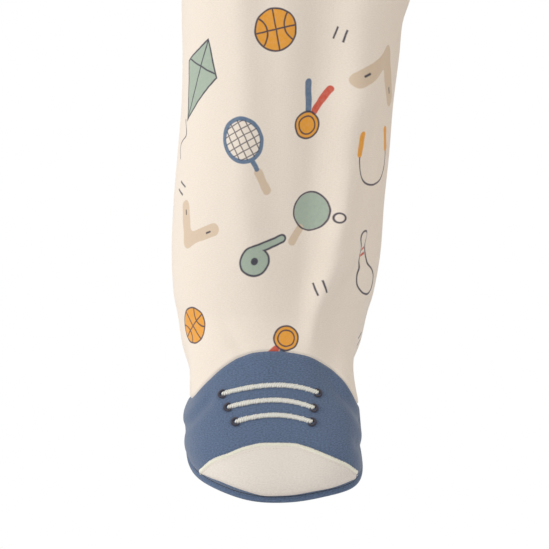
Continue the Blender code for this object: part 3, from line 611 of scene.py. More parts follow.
def cut_places(turn, down, middle):
    """Where each point lies on the flat cut, in metres: across from the panel's middle, and up."""
    across = np.empty_like(turn)
    for r in range(len(turn)):
        fine = np.linspace(turn[r].min(), turn[r].max(), 121)
        run = run_along(smooth_skin(fine, np.full_like(fine, down[r].mean())))
        across[r] = np.interp(turn[r], fine, run) - np.interp(middle, fine, run)
    fall = np.minimum(down, ANKLE)
    share = np.linspace(0, 1, 61)
    for c in np.flatnonzero(down[-1] > ANKLE):
        run = run_along(foot_point(np.full_like(share, turn[-1, c]), share))
        fall[:, c] += np.interp(np.maximum(down[:, c] - ANKLE, 0) / FOOT_SPAN, share, run)
    return np.stack([across, -fall], axis=-1) * MM


def edge_distance(grid, sides=True, top=True, bottom=True):
    """How far each point of a grid lies from its nearest sewn edge, in millimetres."""
    far = np.full(grid.shape[:2], 1e3)
    from_first, from_top = run_along(grid, 1), run_along(grid)
    if sides:
        far = np.minimum(far, np.minimum(from_first, from_first[:, -1:] - from_first))
    if top:
        far = np.minimum(far, from_top)
    if bottom:
        far = np.minimum(far, from_top[-1:] - from_top)
    return far


def turned_in(distance, depth=0.7, proud=0.12):
    """The height of cloth beside a seam: it turns in at the seam and stands a little proud next to it."""
    beside = proud * np.exp(-(((distance - PROUD_AT) / PROUD_WIDTH) ** 2))
    return beside - depth * np.exp(-((distance / TURN_ROUND) ** 2))


def on_half(grid, half):
    """The grid on the wearer's left half, or mirrored on the right."""
    return grid if half == "left" else grid * np.array((-1.0, 1.0, 1.0))


def mirrored_cut(cut, half):
    """The cut as it reads from outside: the right half's runs the other way across."""
    return cut if half == "left" else cut * np.array((-1.0, 1.0))


def link(name, mesh, material_used=None):
    if material_used:
        mesh.materials.append(material_used)
    made = bpy.data.objects.new(name, mesh)
    bpy.context.scene.collection.objects.link(made)
    return made


def add_values(mesh, key, values):
    """A number or a direction for each point of a mesh, under that name."""
    kind, field = ("FLOAT_VECTOR", "vector") if values.ndim > 1 else ("FLOAT", "value")
    attribute = mesh.attributes.new(key, kind, "POINT")
    attribute.data.foreach_set(field, values.astype(np.float32).ravel())


def wall(name, outer, inner, cut, material_used, tube=False, extra=None):
    """A closed cloth wall between two grids in millimetres, with its cut as its UV map.

    A tube's rows close on themselves, and its cut has one column more. extra holds further values for
    each point of the outer grid, which the inner one doesn't have."""
    rows, columns = outer.shape[:2]
    count = rows * columns
    wide = columns + 1 if tube else columns

    def quads(corners, insides):
        """Four corners each, as rows and columns: their points, and their places in the cut."""
        point = [a * columns + b % columns + count * inside for (a, b), inside in zip(corners, insides)]
        return np.stack(point, 1), np.stack([a * wide + b for a, b in corners], 1)

    r, c = (at.ravel() for at in np.meshgrid(np.arange(rows - 1), np.arange(wide - 1), indexing="ij"))
    face = [(r, c), (r, c + 1), (r + 1, c + 1), (r + 1, c)]
    made = [quads(face, (0, 0, 0, 0)), quads(face[::-1], (1, 1, 1, 1))]
    c = np.arange(wide - 1)
    for row, start, end in ((0, c + 1, c), (rows - 1, c, c + 1)):
        at = np.full_like(c, row)
        made.append(quads([(at, start), (at, end), (at, end), (at, start)], (0, 0, 1, 1)))
    r = np.arange(rows - 1)
    for column, start, end in () if tube else ((0, r, r + 1), (columns - 1, r + 1, r)):
        at = np.full_like(r, column)
        made.append(quads([(start, at), (end, at), (end, at), (start, at)], (0, 0, 1, 1)))
    faces, places = (np.concatenate(found) for found in zip(*made))
    co = np.concatenate([outer.reshape(-1, 3), inner.reshape(-1, 3)]) * MM
    a, b, d = co[faces[:, 0]], co[faces[:, 1]], co[faces[:, 2]]
    if np.einsum("ij,ij->i", a, np.cross(b, d)).sum() < 0:
        faces, places = faces[:, ::-1], places[:, ::-1]
    mesh = bpy.data.meshes.new(name)
    mesh.from_pydata(co.tolist(), [], faces.tolist())
    layer = mesh.uv_layers.new(name="cut")
    layer.data.foreach_set("uv", cut.reshape(-1, 2)[places.ravel()].astype(np.float32).ravel())
    for key, values in (extra or {}).items():
        full = np.concatenate([values, np.zeros_like(values)])
        add_values(mesh, key, full.reshape(2 * count, *values.shape[2:]))
    mesh.shade_smooth()
    mesh.set_sharp_from_angle(angle=math.radians(55))
    return link(name, mesh, material_used)


def own_side(grid):
    """The points, kept clear of the other half of the body."""
    kept = grid.copy()
    kept[..., 0] = np.maximum(kept[..., 0], SEAM)
    return kept


def finish_piece(piece, slot, *nodes):
    """The piece moves with the suit and stands for those solids; the slot is not used."""
    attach(piece, "root")
    if nodes:
        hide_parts(*nodes)


def lay_cloth(node, half, outer, inner, cut, slot, finish, tube=False):
    """A wall of cloth in place of the solid of that name, and its flat cut as it reads from outside."""
    flat = mirrored_cut(cut, half)
    on_print = flat + np.array(PRINT_SHIFTS.get(node, (0.0, 0.0))) * MM
    faces = on_half(outer, half), on_half(inner, half)
    piece = wall(f"{node}_cloth", *faces, on_print, material(finish), tube)
    finish_piece(piece, slot, node)
    return piece, flat


def declare_cut(piece, cut, with_pieces=()):
    """States the flat size of a piece of cloth, read from its cut."""
    width, length = (float(np.ptp(cut[..., k])) for k in (0, 1))
    a, b, c = cut[:-1, :-1], cut[:-1, 1:], cut[1:, :-1]
    ab, ac = b - a, c - a
    area = float(np.abs(ab[..., 0] * ac[..., 1] - ab[..., 1] * ac[..., 0]).sum())
    width = max(width, area / length)
    print(f"cut of {piece.name}: {width * 1000:.0f} x {length * 1000:.0f} mm, {area * 1e4:.0f} cm2")


# ---------------------------------------------------------------- trees of nodes


class Tree:
    """Adds nodes to a tree, of a material or of geometry."""

    def __init__(self, tree):
        self.tree = tree

    def feed(self, node, inputs):
        """Sets a node's sockets, by name or number, or links them to what gives their values."""
        for key, value in inputs.items():
            source = value.socket if isinstance(value, (Value, Place)) else value
            if isinstance(source, bpy.types.NodeSocket):
                self.tree.links.new(source, node.inputs[key])
            else:
                node.inputs[key].default_value = source

    def node(self, kind, settings=None, inputs=None):
        """A node of that type, with its settings and its sockets fed."""
        made = self.tree.nodes.new(kind)
        for key, value in (settings or {}).items():
            setattr(made, key, value)
        self.feed(made, inputs or {})
        return made

    def value(self, operation, *inputs, clamp=False):
        settings = {"operation": operation, "use_clamp": clamp}
        return Value(self, self.node("ShaderNodeMath", settings, dict(enumerate(inputs))).outputs[0])

    def vector(self, operation, inputs, output=0):
        return self.node("ShaderNodeVectorMath", {"operation": operation}, inputs).outputs[output]

    def attribute(self, name, kind="FLOAT"):
        return self.node("GeometryNodeInputNamedAttribute", {"data_type": kind}, {"Name": name}).outputs[0]


class Value:
    """A number that changes over a surface, for sums written as Python."""

    def __init__(self, tree, socket):
        self.tree, self.socket = tree, socket

    def __add__(self, other):
        return self.tree.value("ADD", self, other)

    __radd__ = __add__

    def __sub__(self, other):
        return self.tree.value("SUBTRACT", self, other)

    def __rsub__(self, other):
        return self.tree.value("SUBTRACT", other, self)

    def __mul__(self, other):
        return self.tree.value("MULTIPLY", self, other)

    __rmul__ = __mul__

    def __truediv__(self, other):
        return self.tree.value("DIVIDE", self, other)

    def __abs__(self):
        return self.tree.value("ABSOLUTE", self)

    def least(self, other):
        return self.tree.value("MINIMUM", self, other)

    def most(self, other):
        return self.tree.value("MAXIMUM", self, other)

    def soft_least(self, other, blend):
        return self.tree.value("SMOOTH_MIN", self, other, blend)

    def sine(self):
        return self.tree.value("SINE", self)

    def wrapped(self, span):
        return self.tree.value("FLOORED_MODULO", self, span)

    def clamped(self):
        return self.tree.value("ADD", self, 0.0, clamp=True)


class Place:
    """A place or a direction that changes over a surface."""

    def __init__(self, tree, socket):
        self.tree, self.socket = tree, socket

    def __add__(self, other):
        return Place(self.tree, self.tree.vector("ADD", {0: self, 1: other}))

    def __sub__(self, other):
        return Place(self.tree, self.tree.vector("SUBTRACT", {0: self, 1: other}))

    def times(self, value):
        return Place(self.tree, self.tree.vector("SCALE", {0: self, "Scale": value}))

    def length(self):
        return Value(self.tree, self.tree.vector("LENGTH", {0: self}, 1))

    def dot(self, other):
        return Value(self.tree, self.tree.vector("DOT_PRODUCT", {0: self, 1: other}, 1))

    def parts(self):
        split = self.tree.node("ShaderNodeSeparateXYZ", inputs={0: self})
        return [Value(self.tree, socket) for socket in split.outputs]


def tinted(colour, share=1.0):
    """The colour made darker or lighter by that share, with its alpha."""
    return (*(min(1.0, c * share) for c in colour), 1.0)


def blend_colour(tree, share, a, b):
    """Colour a where the share is 0 and b where it is 1."""
    return tree.node("ShaderNodeMix", {"data_type": "RGBA"}, {0: share, 6: a, 7: b}).outputs[2]


def noise(tree, place, scale, detail=2.0, roughness=0.5):
    inputs = {"Vector": place, "Scale": scale, "Detail": detail, "Roughness": roughness}
    return Value(tree, tree.node("ShaderNodeTexNoise", {"noise_dimensions": "3D"}, inputs).outputs[0])


def own_place(tree):
    """The place on the object, in metres."""
    return Place(tree, tree.node("ShaderNodeTexCoord").outputs["Object"])


def bumped(tree, strength, distance, height):
    inputs = {"Strength": strength, "Distance": distance, "Height": height}
    return tree.node("ShaderNodeBump", inputs=inputs).outputs[0]


def finish_shader(name, settings):
    """A new material and its tree, with the shader's own sockets set: they are the same all over."""
    made = bpy.data.materials.new(name)
    made.use_nodes = True
    tree = Tree(made.node_tree)
    shader = made.node_tree.nodes["Principled BSDF"]
    tree.feed(shader, settings)
    return made, tree, shader


# ---------------------------------------------------------------- the all-over print, in millimetres

REPEAT = (134.0, 172.0)  # of the print, across and up


def disc(place, radius):
    return place.length() - radius


def bar(place, a, b, radius):
    """A stroke from a to b with round ends."""
    along = (b[0] - a[0], b[1] - a[1])
    square = along[0] ** 2 + along[1] ** 2
    from_a = place - (a[0], a[1], 0.0)
    share = from_a.dot((along[0] / square, along[1] / square, 0.0)).clamped()
    spine = Place(place.tree, place.tree.vector("SCALE", {0: (along[0], along[1], 0.0), "Scale": share}))
    return (from_a - spine).length() - radius


def line(distance, width):
    """A drawn line along the edge of a shape."""
    return abs(distance) - width / 2


def bowling_pin(place):
    body = disc(place - (0.0, -6.5, 0.0), 4.7).soft_least(bar(place, (0.0, -4.0), (0.0, 8.0), 1.9), 3.0)
    body = body.soft_least(disc(place - (0.0, 8.2, 0.0), 2.6), 1.5)
    _, up, _ = place.parts()
    stripes = abs(abs(up - 3.6) - 1.0) - 0.45
    return {"ink": [line(body, 0.64)], "red": [stripes.most(body + 0.6)]}


def basketball(place):
    ball = disc(place, 7.4)
    across, up, _ = place.parts()
    side = Place(place.tree, place.tree.vector("ABSOLUTE", {0: place})) - (9.6, 0.0, 0.0)
    seams = abs(across).least(abs(up)).least(abs(side.length() - 6.4)) - 0.29
    return {"mustard": [ball], "ink": [line(ball, 0.62), seams.most(ball)]}


def kite(place):
    across, up, _ = place.parts()
    across = abs(across)
    sail = (across * 0.77 + up * 0.64 - 6.9).most(across * 0.90 - up * 0.44 - 8.1)
    spars = across.least(abs(up - 1.0)) - 0.27
    tail = abs(up + 25.0) - 6.6
    wave = abs((up * 0.62).sine() * 1.7 + place.parts()[0]) - 0.3
    return {"sage": [sail], "ink": [line(sail + 0.2, 0.62), spars.most(sail), wave.most(tail)]}


def racket(place):
    round_place = Place(place.tree, place.tree.vector("MULTIPLY", {0: place, 1: (1.22, 1.0, 0.0)}))
    head = disc(round_place, 7.2)
    across, up, _ = place.parts()
    strings = abs(across.wrapped(2.3) - 1.15).least(abs(up.wrapped(2.3) - 1.15)) - 0.17
    throat = bar(place, (0.0, -7.4), (0.0, -11.0), 0.75)
    handle = bar(place, (0.0, -12.0), (0.0, -19.0), 1.25)
    return {"slate": [line(head, 1.5), throat], "ink": [strings.most(head + 0.4)], "tan": [handle]}


def boomerang(place):
    long_arm = bar(place, (0.0, 0.0), (11.5, -5.5), 2.3)
    arms = long_arm.soft_least(bar(place, (0.0, 0.0), (-4.5, -12.0), 2.3), 3.0)
    marks = bar(place, (8.8, -4.4), (10.0, -4.9), 0.3).least(bar(place, (-3.6, -9.0), (-4.1, -10.4), 0.3))
    return {"tan": [arms], "ink": [marks]}


def medal(place):
    coin = disc(place, 4.3)
    ribbon = bar(place, (-1.2, 5.0), (-4.0, 13.0), 1.15)
    other = bar(place, (1.2, 5.0), (4.0, 13.0), 1.15)
    lines = [line(coin + 1.4, 0.5), line(coin, 0.6)]
    return {"mustard": [coin], "slate": [ribbon], "red": [other], "ink": lines}


def skipping_rope(place):
    _, up, _ = place.parts()
    loop = line(disc(place, 8.2), 0.6).most(up - 2.0)
    left = bar(place, (-8.0, 3.0), (-7.0, 9.0), 1.15)
    right = bar(place, (8.0, 3.0), (7.4, 9.0), 1.15)
    return {"ink": [loop], "mustard": [left.least(right)]}


def whistle(place):
    shell = disc(place, 4.4).least(bar(place, (0.0, 3.2), (10.0, 3.2), 1.25))
    return {"sage": [shell], "ink": [line(shell + 0.1, 0.6), disc(place, 1.1)]}


def paddle(place):
    blade = disc(place, 6.3)
    grip = bar(place, (0.0, -6.8), (0.0, -12.0), 1.4)
    ball = disc(place - (8.6, 3.0, 0.0), 1.6)
    return {"sage": [blade + 0.3], "tan": [grip], "ink": [line(ball, 0.6), line(blade, 0.6)]}


def dashes(place):
    across, up, _ = place.parts()
    return {"ink": [(abs(abs(across) - 1.5) - 0.3).most(abs(up) - 2.2)]}


# motif, across, up, turned by degrees, size
MOTIFS = (
    (basketball, -7.0, 138.0, 12.0, 1.22),
    (boomerang, 46.0, 128.0, -38.0, 1.55),
    (dashes, 22.0, 136.0, -18.0, 1.25),
    (kite, -43.0, 122.0, -20.0, 1.25),
    (medal, 10.0, 98.0, -14.0, 1.30),
    (racket, -18.0, 92.0, 30.0, 1.30),
    (skipping_rope, 44.0, 84.0, 8.0, 1.30),
    (dashes, -50.0, 72.0, 62.0, 1.25),
    (paddle, 15.0, 62.0, -32.0, 1.25),
    (boomerang, -42.0, 50.0, 128.0, 1.15),
    (whistle, -9.0, 41.0, 22.0, 1.40),
    (bowling_pin, 45.0, 41.0, 18.0, 1.25),
    (dashes, 20.0, 30.0, 20.0, 1.25),
    (basketball, -38.0, 14.0, 40.0, 1.05),
    (medal, 6.0, 9.0, 150.0, 1.20),
    (dashes, 52.0, 8.0, -60.0, 1.25),
)
PRINT_ORDER = ("sage", "tan", "mustard", "slate", "red", "ink")
STAGGER = 0.37  # how far the next column of the print is moved up, as a share of its height
EDGE_SHARPNESS = 3.2  # a printed edge fades out over 1 / 3.2 mm


def print_masks(tree, place):
    """How strongly each colour of the print covers a place of the cut, in millimetres."""
    wobble = noise(tree, place, 0.16, 1.0) - 0.5
    drift = noise(tree, place + (40.0, 9.0, 3.0), 0.16, 1.0) - 0.5
    across, up, _ = place.parts()
    across, up = across + wobble * 0.9, up + drift * 0.9
    column = tree.value("FLOOR", (across + REPEAT[0] / 2) / REPEAT[0])
    across = (across + REPEAT[0] / 2).wrapped(REPEAT[0]) - REPEAT[0] / 2
    up = (up + column * (REPEAT[1] * STAGGER)).wrapped(REPEAT[1])
    at = tree.node("ShaderNodeCombineXYZ", inputs={0: across, 1: up}).outputs[0]
    shapes = {colour: [] for colour in PRINT_ORDER}
    for motif, x, y, turned, size in MOTIFS:
        inputs = {
            "Vector": at,
            "Location": (x, y, 0.0),
            "Rotation": (0.0, 0.0, math.radians(turned)),
            "Scale": (size, size, 1.0),
        }
        moved = tree.node("ShaderNodeMapping", {"vector_type": "TEXTURE"}, inputs)
        for colour, found in motif(Place(tree, moved.outputs[0])).items():
            shapes[colour] += found
    masks = {}
    for colour, (nearest, *others) in shapes.items():
        for shape in others:
            nearest = nearest.least(shape)
        masks[colour] = (0.5 - nearest * EDGE_SHARPNESS).clamped()
    return masks


# ---------------------------------------------------------------- settings


def length_setting(title, description, default):
    return bpy.props.FloatProperty(name=title, description=description, default=default, unit="LENGTH")


def colour_setting(title, description, *default):
    return bpy.props.FloatVectorProperty(
        name=title, description=description, default=default, size=3, subtype="COLOR"
    )


class SuitSizes(bpy.types.PropertyGroup):
    """Sizes of what is sewn and knitted."""

    rib_spacing: length_setting("Rib spacing", "From one rib to the next", 0.0017)
    rib_height: length_setting("Rib height", "Of a rib, over the valleys", 0.0005)
    stitch_length: length_setting("Stitch length", "Of the top stitching", 0.0024)
    thread_width: length_setting("Thread width", "Of the top stitching's thread", 0.00038)
    satin_spacing: length_setting("Satin spacing", "From one satin stitch to the next", 0.00102)


class SuitColours(bpy.types.PropertyGroup):
    """Colours of the cloth, the print and the thread."""

    cream: colour_setting("Cream", "The body's cotton", 0.862, 0.78, 0.688)
    rib: colour_setting("Rib", "Neckband and cuffs", 0.86, 0.768, 0.68)
    blue: colour_setting("Blue", "Uppers and soles", 0.103, 0.151, 0.250)
    lace: colour_setting("Lace", "The laces' satin stitch", 0.925, 0.922, 0.86)
    cord: colour_setting("Cord", "Edge of the toe caps", 1.0, 0.985, 0.86)
    cap: colour_setting("Toe cap", "Cotton of the toe caps", 0.79, 0.735, 0.675)
    eyelet: colour_setting("Eyelet", "Stitches round the laces' ends", 0.075, 0.07, 0.10)
    stud: colour_setting("Press stud", "Enamel of the press studs", 0.80, 0.75, 0.68)
    ink: colour_setting("Ink", "The print's lines", 0.065, 0.06, 0.085)
    mustard: colour_setting("Mustard", "In the print", 0.83, 0.36, 0.035)
    sage: colour_setting("Sage", "In the print", 0.38, 0.47, 0.39)
    tan: colour_setting("Tan", "In the print", 0.70, 0.56, 0.42)
    slate: colour_setting("Slate blue", "In the print", 0.12, 0.19, 0.30)
    red: colour_setting("Red", "In the print", 0.62, 0.10, 0.06)


# ---------------------------------------------------------------- finishes

STREAKS = (0.6, 1.35, 1.0)  # how the heather's flecks are drawn out along the rows of stitches
FLECK_CONTRAST = 3.2
WEAR = 0.2  # how unevenly the print covers the cloth


def knit_bump(tree, place, wale, slack, strength=0.75):
    """Fine columns of stitches, fibres and the slight unevenness of soft cloth."""
    across, up, _ = place.parts()
    columns = (across * (math.tau / wale)).sine() * 0.5
    courses = (up * (math.tau / (wale * 0.85)) + columns * 1.2).sine() * 0.5
    fibres = noise(tree, place, 1.3, 3.0, 0.7)
    hollows = noise(tree, place, 0.11, 2.0, 0.5)
    height = columns * 0.02 + courses * 0.014 + fibres * 0.05 + hollows * slack
    return bumped(tree, strength, MM, height)


def cloth_material(name, colour, printed=False, wale=0.9, slack=0.35, sheen=0.25, heather=0.035):
    """Knit cloth. The wale is one column of stitches in millimetres, the slack how uneven the cloth lies
    and the heather how far its fibres' colours differ."""
    fixed = {"Roughness": 0.9, "Sheen Weight": sheen, "Sheen Roughness": 0.5, "Specular IOR Level": 0.25}
    made, tree, shader = finish_shader(name, fixed)
    place = Place(tree, tree.node("ShaderNodeUVMap", {"uv_map": "cut"}).outputs[0]).times(1 / MM)
    streaks = Place(tree, tree.vector("MULTIPLY", {0: place, 1: STREAKS}))
    flecks = ((noise(tree, streaks, 1.7, 2.0, 0.6) - 0.5) * FLECK_CONTRAST + 0.5).clamped()
    cloud = noise(tree, place, 0.035, 2.0, 0.5)
    shade = blend_colour(tree, flecks, tinted(colour, 1 - heather), tinted(colour, 1 + heather))
    shade = blend_colour(tree, cloud * 0.25, shade, tinted(colour))
    if printed:
        colours = bpy.context.scene.suit_colours
        wear = noise(tree, place, 0.7, 2.0) * WEAR + 0.86
        for key, mask in print_masks(tree, place).items():
            shade = blend_colour(tree, mask * wear.clamped(), shade, tinted(getattr(colours, key)))
    tree.feed(shader, {"Base Color": shade, "Normal": knit_bump(tree, place, wale, slack)})
    return made


def thread_material(name, colour, sheen=0.3):
    fixed = {"Roughness": 0.45, "Sheen Weight": sheen, "Specular IOR Level": 0.4}
    made, tree, shader = finish_shader(name, fixed)
    strands = noise(tree, own_place(tree), 1500.0, 2.0)
    shade = blend_colour(tree, strands, tinted(colour, 0.80), tinted(colour))
    tree.feed(shader, {"Base Color": shade, "Normal": bumped(tree, 0.3, 0.0002, strands)})
    return made


def stud_material(name, colour):
    fixed = {"Metallic": 0.35, "Coat Weight": 0.4, "Coat Roughness": 0.2, "Specular IOR Level": 0.5}
    made, tree, shader = finish_shader(name, fixed)
    mottle = noise(tree, own_place(tree), 900.0, 3.0, 0.6)
    shade = blend_colour(tree, mottle, tinted(colour, 0.92), tinted(colour))
    tree.feed(shader, {"Base Color": shade, "Roughness": mottle * 0.16 + 0.26})
    return made


JERSEY_KNIT = {"wale": 0.8, "slack": 0.3, "sheen": 0.3, "heather": 0.28}
# name of a material: what makes it, its colour in the settings, and its own values
FINISHES = {
    "printed_cotton": (cloth_material, "cream", {"printed": True}),
    "cream_rib_knit": (cloth_material, "rib", {"wale": 0.8, "slack": 0.1}),
    "heathered_blue_knit": (cloth_material, "blue", JERSEY_KNIT),
    "cap_cotton": (cloth_material, "cap", {"wale": 0.7, "slack": 0.2, "heather": 0.06}),
    "lace_satin": (thread_material, "lace", {}),
    "eyelet_satin": (thread_material, "eyelet", {"sheen": 0.1}),
    "cap_edge_satin": (thread_material, "cord", {}),
    "sewing_thread": (thread_material, "cream", {}),
    "stud_enamel": (stud_material, "stud", {}),
}


def material(name):
    """The material of that name, built once."""
    build, colour, values = FINISHES[name]
    colours = bpy.context.scene.suit_colours
    return bpy.data.materials.get(name) or build(name, getattr(colours, colour), **values)


# ---------------------------------------------------------------- trees of geometry


def geometry_tree(name, inputs):
    """An empty tree with its named inputs and their defaults. One without a default takes a material."""
    kinds = {float: "NodeSocketFloat", int: "NodeSocketInt", type(None): "NodeSocketMaterial"}
    group = bpy.data.node_groups.new(name, "GeometryNodeTree")
    group.interface.new_socket("Geometry", in_out="INPUT", socket_type="NodeSocketGeometry")
    for title, default in inputs.items():
        socket = group.interface.new_socket(title, in_out="INPUT", socket_type=kinds[type(default)])
        if default is not None:
            socket.default_value = default
    group.interface.new_socket("Geometry", in_out="OUTPUT", socket_type="NodeSocketGeometry")
    tree = Tree(group)
    given = tree.node("NodeGroupInput")
    return group, tree, {socket.name: socket for socket in given.outputs if socket.name}


def stitches_tree():
    """Stitches laid along a path: in line with it, or across it as satin stitch does."""
    inputs = {
        "Spacing": 0.001,
        "Length": 0.002,
        "Width": 0.0004,
        "Height": 0.0004,
        "Slant": 0.0,
        "Unevenness": 0.06,
        "Seed": 7,
        "Material": None,
    }
    group, tree, given = geometry_tree("Stitches", inputs)
    path = tree.node("GeometryNodeMeshToCurve", inputs={"Mesh": given["Geometry"]})
    inputs = {"Curve": path.outputs[0], "Length": given["Spacing"]}
    spaced = tree.node("GeometryNodeResampleCurve", {"mode": "LENGTH"}, inputs)
    thread = tree.node("GeometryNodeMeshUVSphere", inputs={"Segments": 6, "Rings": 6, "Radius": 0.5})
    out = tree.attribute("out", "FLOAT_VECTOR")
    wide = Value(tree, tree.attribute("wide"))
    tangent = tree.node("GeometryNodeInputTangent")
    settings = {"primary_axis": "Z", "secondary_axis": "X"}
    inputs = {"Primary Axis": out, "Secondary Axis": tangent.outputs[0]}
    axes = tree.node("FunctionNodeAxesToRotation", settings, inputs)
    inputs = {2: -1.0, 3: 1.0, "Seed": given["Seed"]}
    chance = tree.node("FunctionNodeRandomValue", {"data_type": "FLOAT"}, inputs)
    sway = Value(tree, chance.outputs[1]) * Value(tree, given["Unevenness"])
    euler = tree.node("ShaderNodeCombineXYZ", inputs={2: sway + Value(tree, given["Slant"])})
    as_rotation = tree.node("FunctionNodeEulerToRotation", inputs={0: euler.outputs[0]})
    inputs = {"Rotation": axes.outputs[0], "Rotate By": as_rotation.outputs[0]}
    turned = tree.node("FunctionNodeRotateRotation", {"rotation_space": "LOCAL"}, inputs)
    length = Value(tree, given["Length"]) * wide * (1 + sway)
    size = tree.node("ShaderNodeCombineXYZ", inputs={0: length, 1: given["Width"], 2: given["Height"]})
    inputs = {"Points": spaced.outputs[0], "Instance": thread.outputs[0]}
    inputs |= {"Rotation": turned.outputs[0], "Scale": size.outputs[0]}
    laid = tree.node("GeometryNodeInstanceOnPoints", inputs=inputs)
    real = tree.node("GeometryNodeRealizeInstances", inputs={0: laid.outputs[0]})
    smooth = tree.node("GeometryNodeSetShadeSmooth", inputs={0: real.outputs[0]})
    inputs = {0: smooth.outputs[0], "Material": given["Material"]}
    painted = tree.node("GeometryNodeSetMaterial", inputs=inputs)
    tree.node("NodeGroupOutput", inputs={0: painted.outputs[0]})
    return group


def rib_tree():
    """Raises the ribs of a knit wall along its own way out, by its place across the ribs."""
    inputs = {"Rib spacing": 0.0017, "Rib height": 0.0005, "Material": None}
    group, tree, given = geometry_tree("Rib knit", inputs)
    phase = Value(tree, tree.attribute("across")) * math.tau / Value(tree, given["Rib spacing"])
    rounded = tree.value("POWER", tree.value("COSINE", phase) * 0.5 + 0.5, 0.7)
    height = rounded * Value(tree, given["Rib height"])
    offset = Place(tree, tree.attribute("out", "FLOAT_VECTOR")).times(height)
    raised = tree.node("GeometryNodeSetPosition", inputs={0: given["Geometry"], "Offset": offset})
    real = tree.node("GeometryNodeRealizeInstances", inputs={0: raised.outputs[0]})
    painted = tree.node("GeometryNodeSetMaterial", inputs={0: real.outputs[0], "Material": given["Material"]})
    tree.node("NodeGroupOutput", inputs={0: painted.outputs[0]})
    return group


def grown(name, base, group, values):
    """The plain mesh that a tree of geometry makes of an object, which it takes the place of."""
    modifier = base.modifiers.new(group.name, "NODES")
    modifier.node_group = group
    for item in group.interface.items_tree:
        if item.in_out == "INPUT" and item.name in values:
            modifier[item.identifier] = values[item.name]
    graph = bpy.context.evaluated_depsgraph_get()
    mesh = bpy.data.meshes.new_from_object(base.evaluated_get(graph), depsgraph=graph)
    mesh.name = name
    old = base.data
    bpy.data.objects.remove(base)
    bpy.data.meshes.remove(old)
    if not mesh.polygons:
        raise RuntimeError(f"{name}: the tree of geometry made nothing")
    return link(name, mesh)


def path_on(half, place, out, wide=1.0):
    """A path for stitches on that half: its points in millimetres, its ways out and its widths."""
    return on_half(place, half), on_half(out, half), np.broadcast_to(wide, len(place))


def path_object(paths):
    """Open paths as one object of edges."""
    place, out, wide = (np.concatenate(values) for values in zip(*paths))
    ends = np.cumsum([len(path[0]) for path in paths]) - 1
    starts = [i for i in range(len(place) - 1) if i not in ends]
    mesh = bpy.data.meshes.new("path")
    mesh.from_pydata((place * MM).tolist(), [(i, i + 1) for i in starts], [])
    add_values(mesh, "out", out)
    add_values(mesh, "wide", wide)
    return link("path", mesh)


def stitched(name, paths, finish, spacing, length, width, height, slant=0.0, uneven=0.06):
    values = {
        "Spacing": spacing,
        "Length": length,
        "Width": width,
        "Height": height,
        "Slant": slant,
        "Unevenness": uneven,
        "Material": material(finish),
    }
    group = bpy.data.node_groups.get("Stitches") or stitches_tree()
    return grown(name, path_object(paths), group, values)


# ---------------------------------------------------------------- body, legs and sleeves


def tube_cut(grid):
    """The flat cut of a tube that is slit along its first column, in metres."""
    rows = np.concatenate([grid, grid[:, :1]], axis=1)
    across = run_along(rows, 1)
    return np.stack([across - across[:, -1:] / 2, -run_along(rows)], axis=-1) * MM


def make_panels():
    for part, middle in (("front", 0.5), ("back", 1.5)):
        turn, down = panel_grid(part == "back")
        cut = cut_places(turn, down, middle)
        for half in HALVES:
            far = edge_distance(skin(turn, down, half)[0])
            outer = own_side(skin(turn, down, half, turned_in(far))[0])
            inner = own_side(skin(turn, down, half, -JERSEY)[0])
            node = f"{part}_{half}"
            declare_cut(*lay_cloth(node, half, outer, inner, cut, "cream_jersey", "printed_cotton"))


def sleeve_grid(levels, columns, out):
    """Rings of a sleeve, from its seam under the arm."""
    around, down = np.meshgrid(180 + 360 * np.arange(columns) / columns, levels)
    return around, down, sleeve_skin(around % 360, down, out)


def make_sleeves():
    levels = SLEEVE_SEAM + (SLEEVE_LENGTH - 2 * SLEEVE_SEAM) * near_edges(86, 1 / SLEEVE_LENGTH)
    columns = 144
    around, down, (smooth, _) = sleeve_grid(levels, columns, 0.0)
    far = edge_distance(smooth, sides=False)
    radius = between(SLEEVE, down)[0]
    from_seam = np.radians(np.minimum(around - 180, 540 - around)) * radius
    height = turned_in(far) + turned_in(from_seam, 0.6)
    outer = sleeve_grid(levels, columns, height)[2][0]
    inner = sleeve_grid(levels, columns, -JERSEY)[2][0]
    cut = tube_cut(smooth)
    for half in HALVES:
        node = f"sleeve_{half}"
        declare_cut(*lay_cloth(node, half, outer, inner, cut, "cream_jersey", "printed_cotton", tube=True))


# ---------------------------------------------------------------- rib

RIB_FADE = 1.2  # from an edge to where the ribs stand fully
INNER_ROLL = 0.6  # how much the inner face rolls at a folded edge, as a share of the outer one


def rolled(distance, radius=1.0):
    """How far the face of a folded edge has turned in, that far from it."""
    rest = np.clip(1 - distance / radius, 0, 1)
    return -radius * (1 - np.sqrt(1 - rest**2)) * 0.9


def whole_ribs(length, share):
    """The way across a whole number of ribs, in metres."""
    spacing = bpy.context.scene.suit_sizes.rib_spacing
    return share * round(length * MM / spacing) * spacing


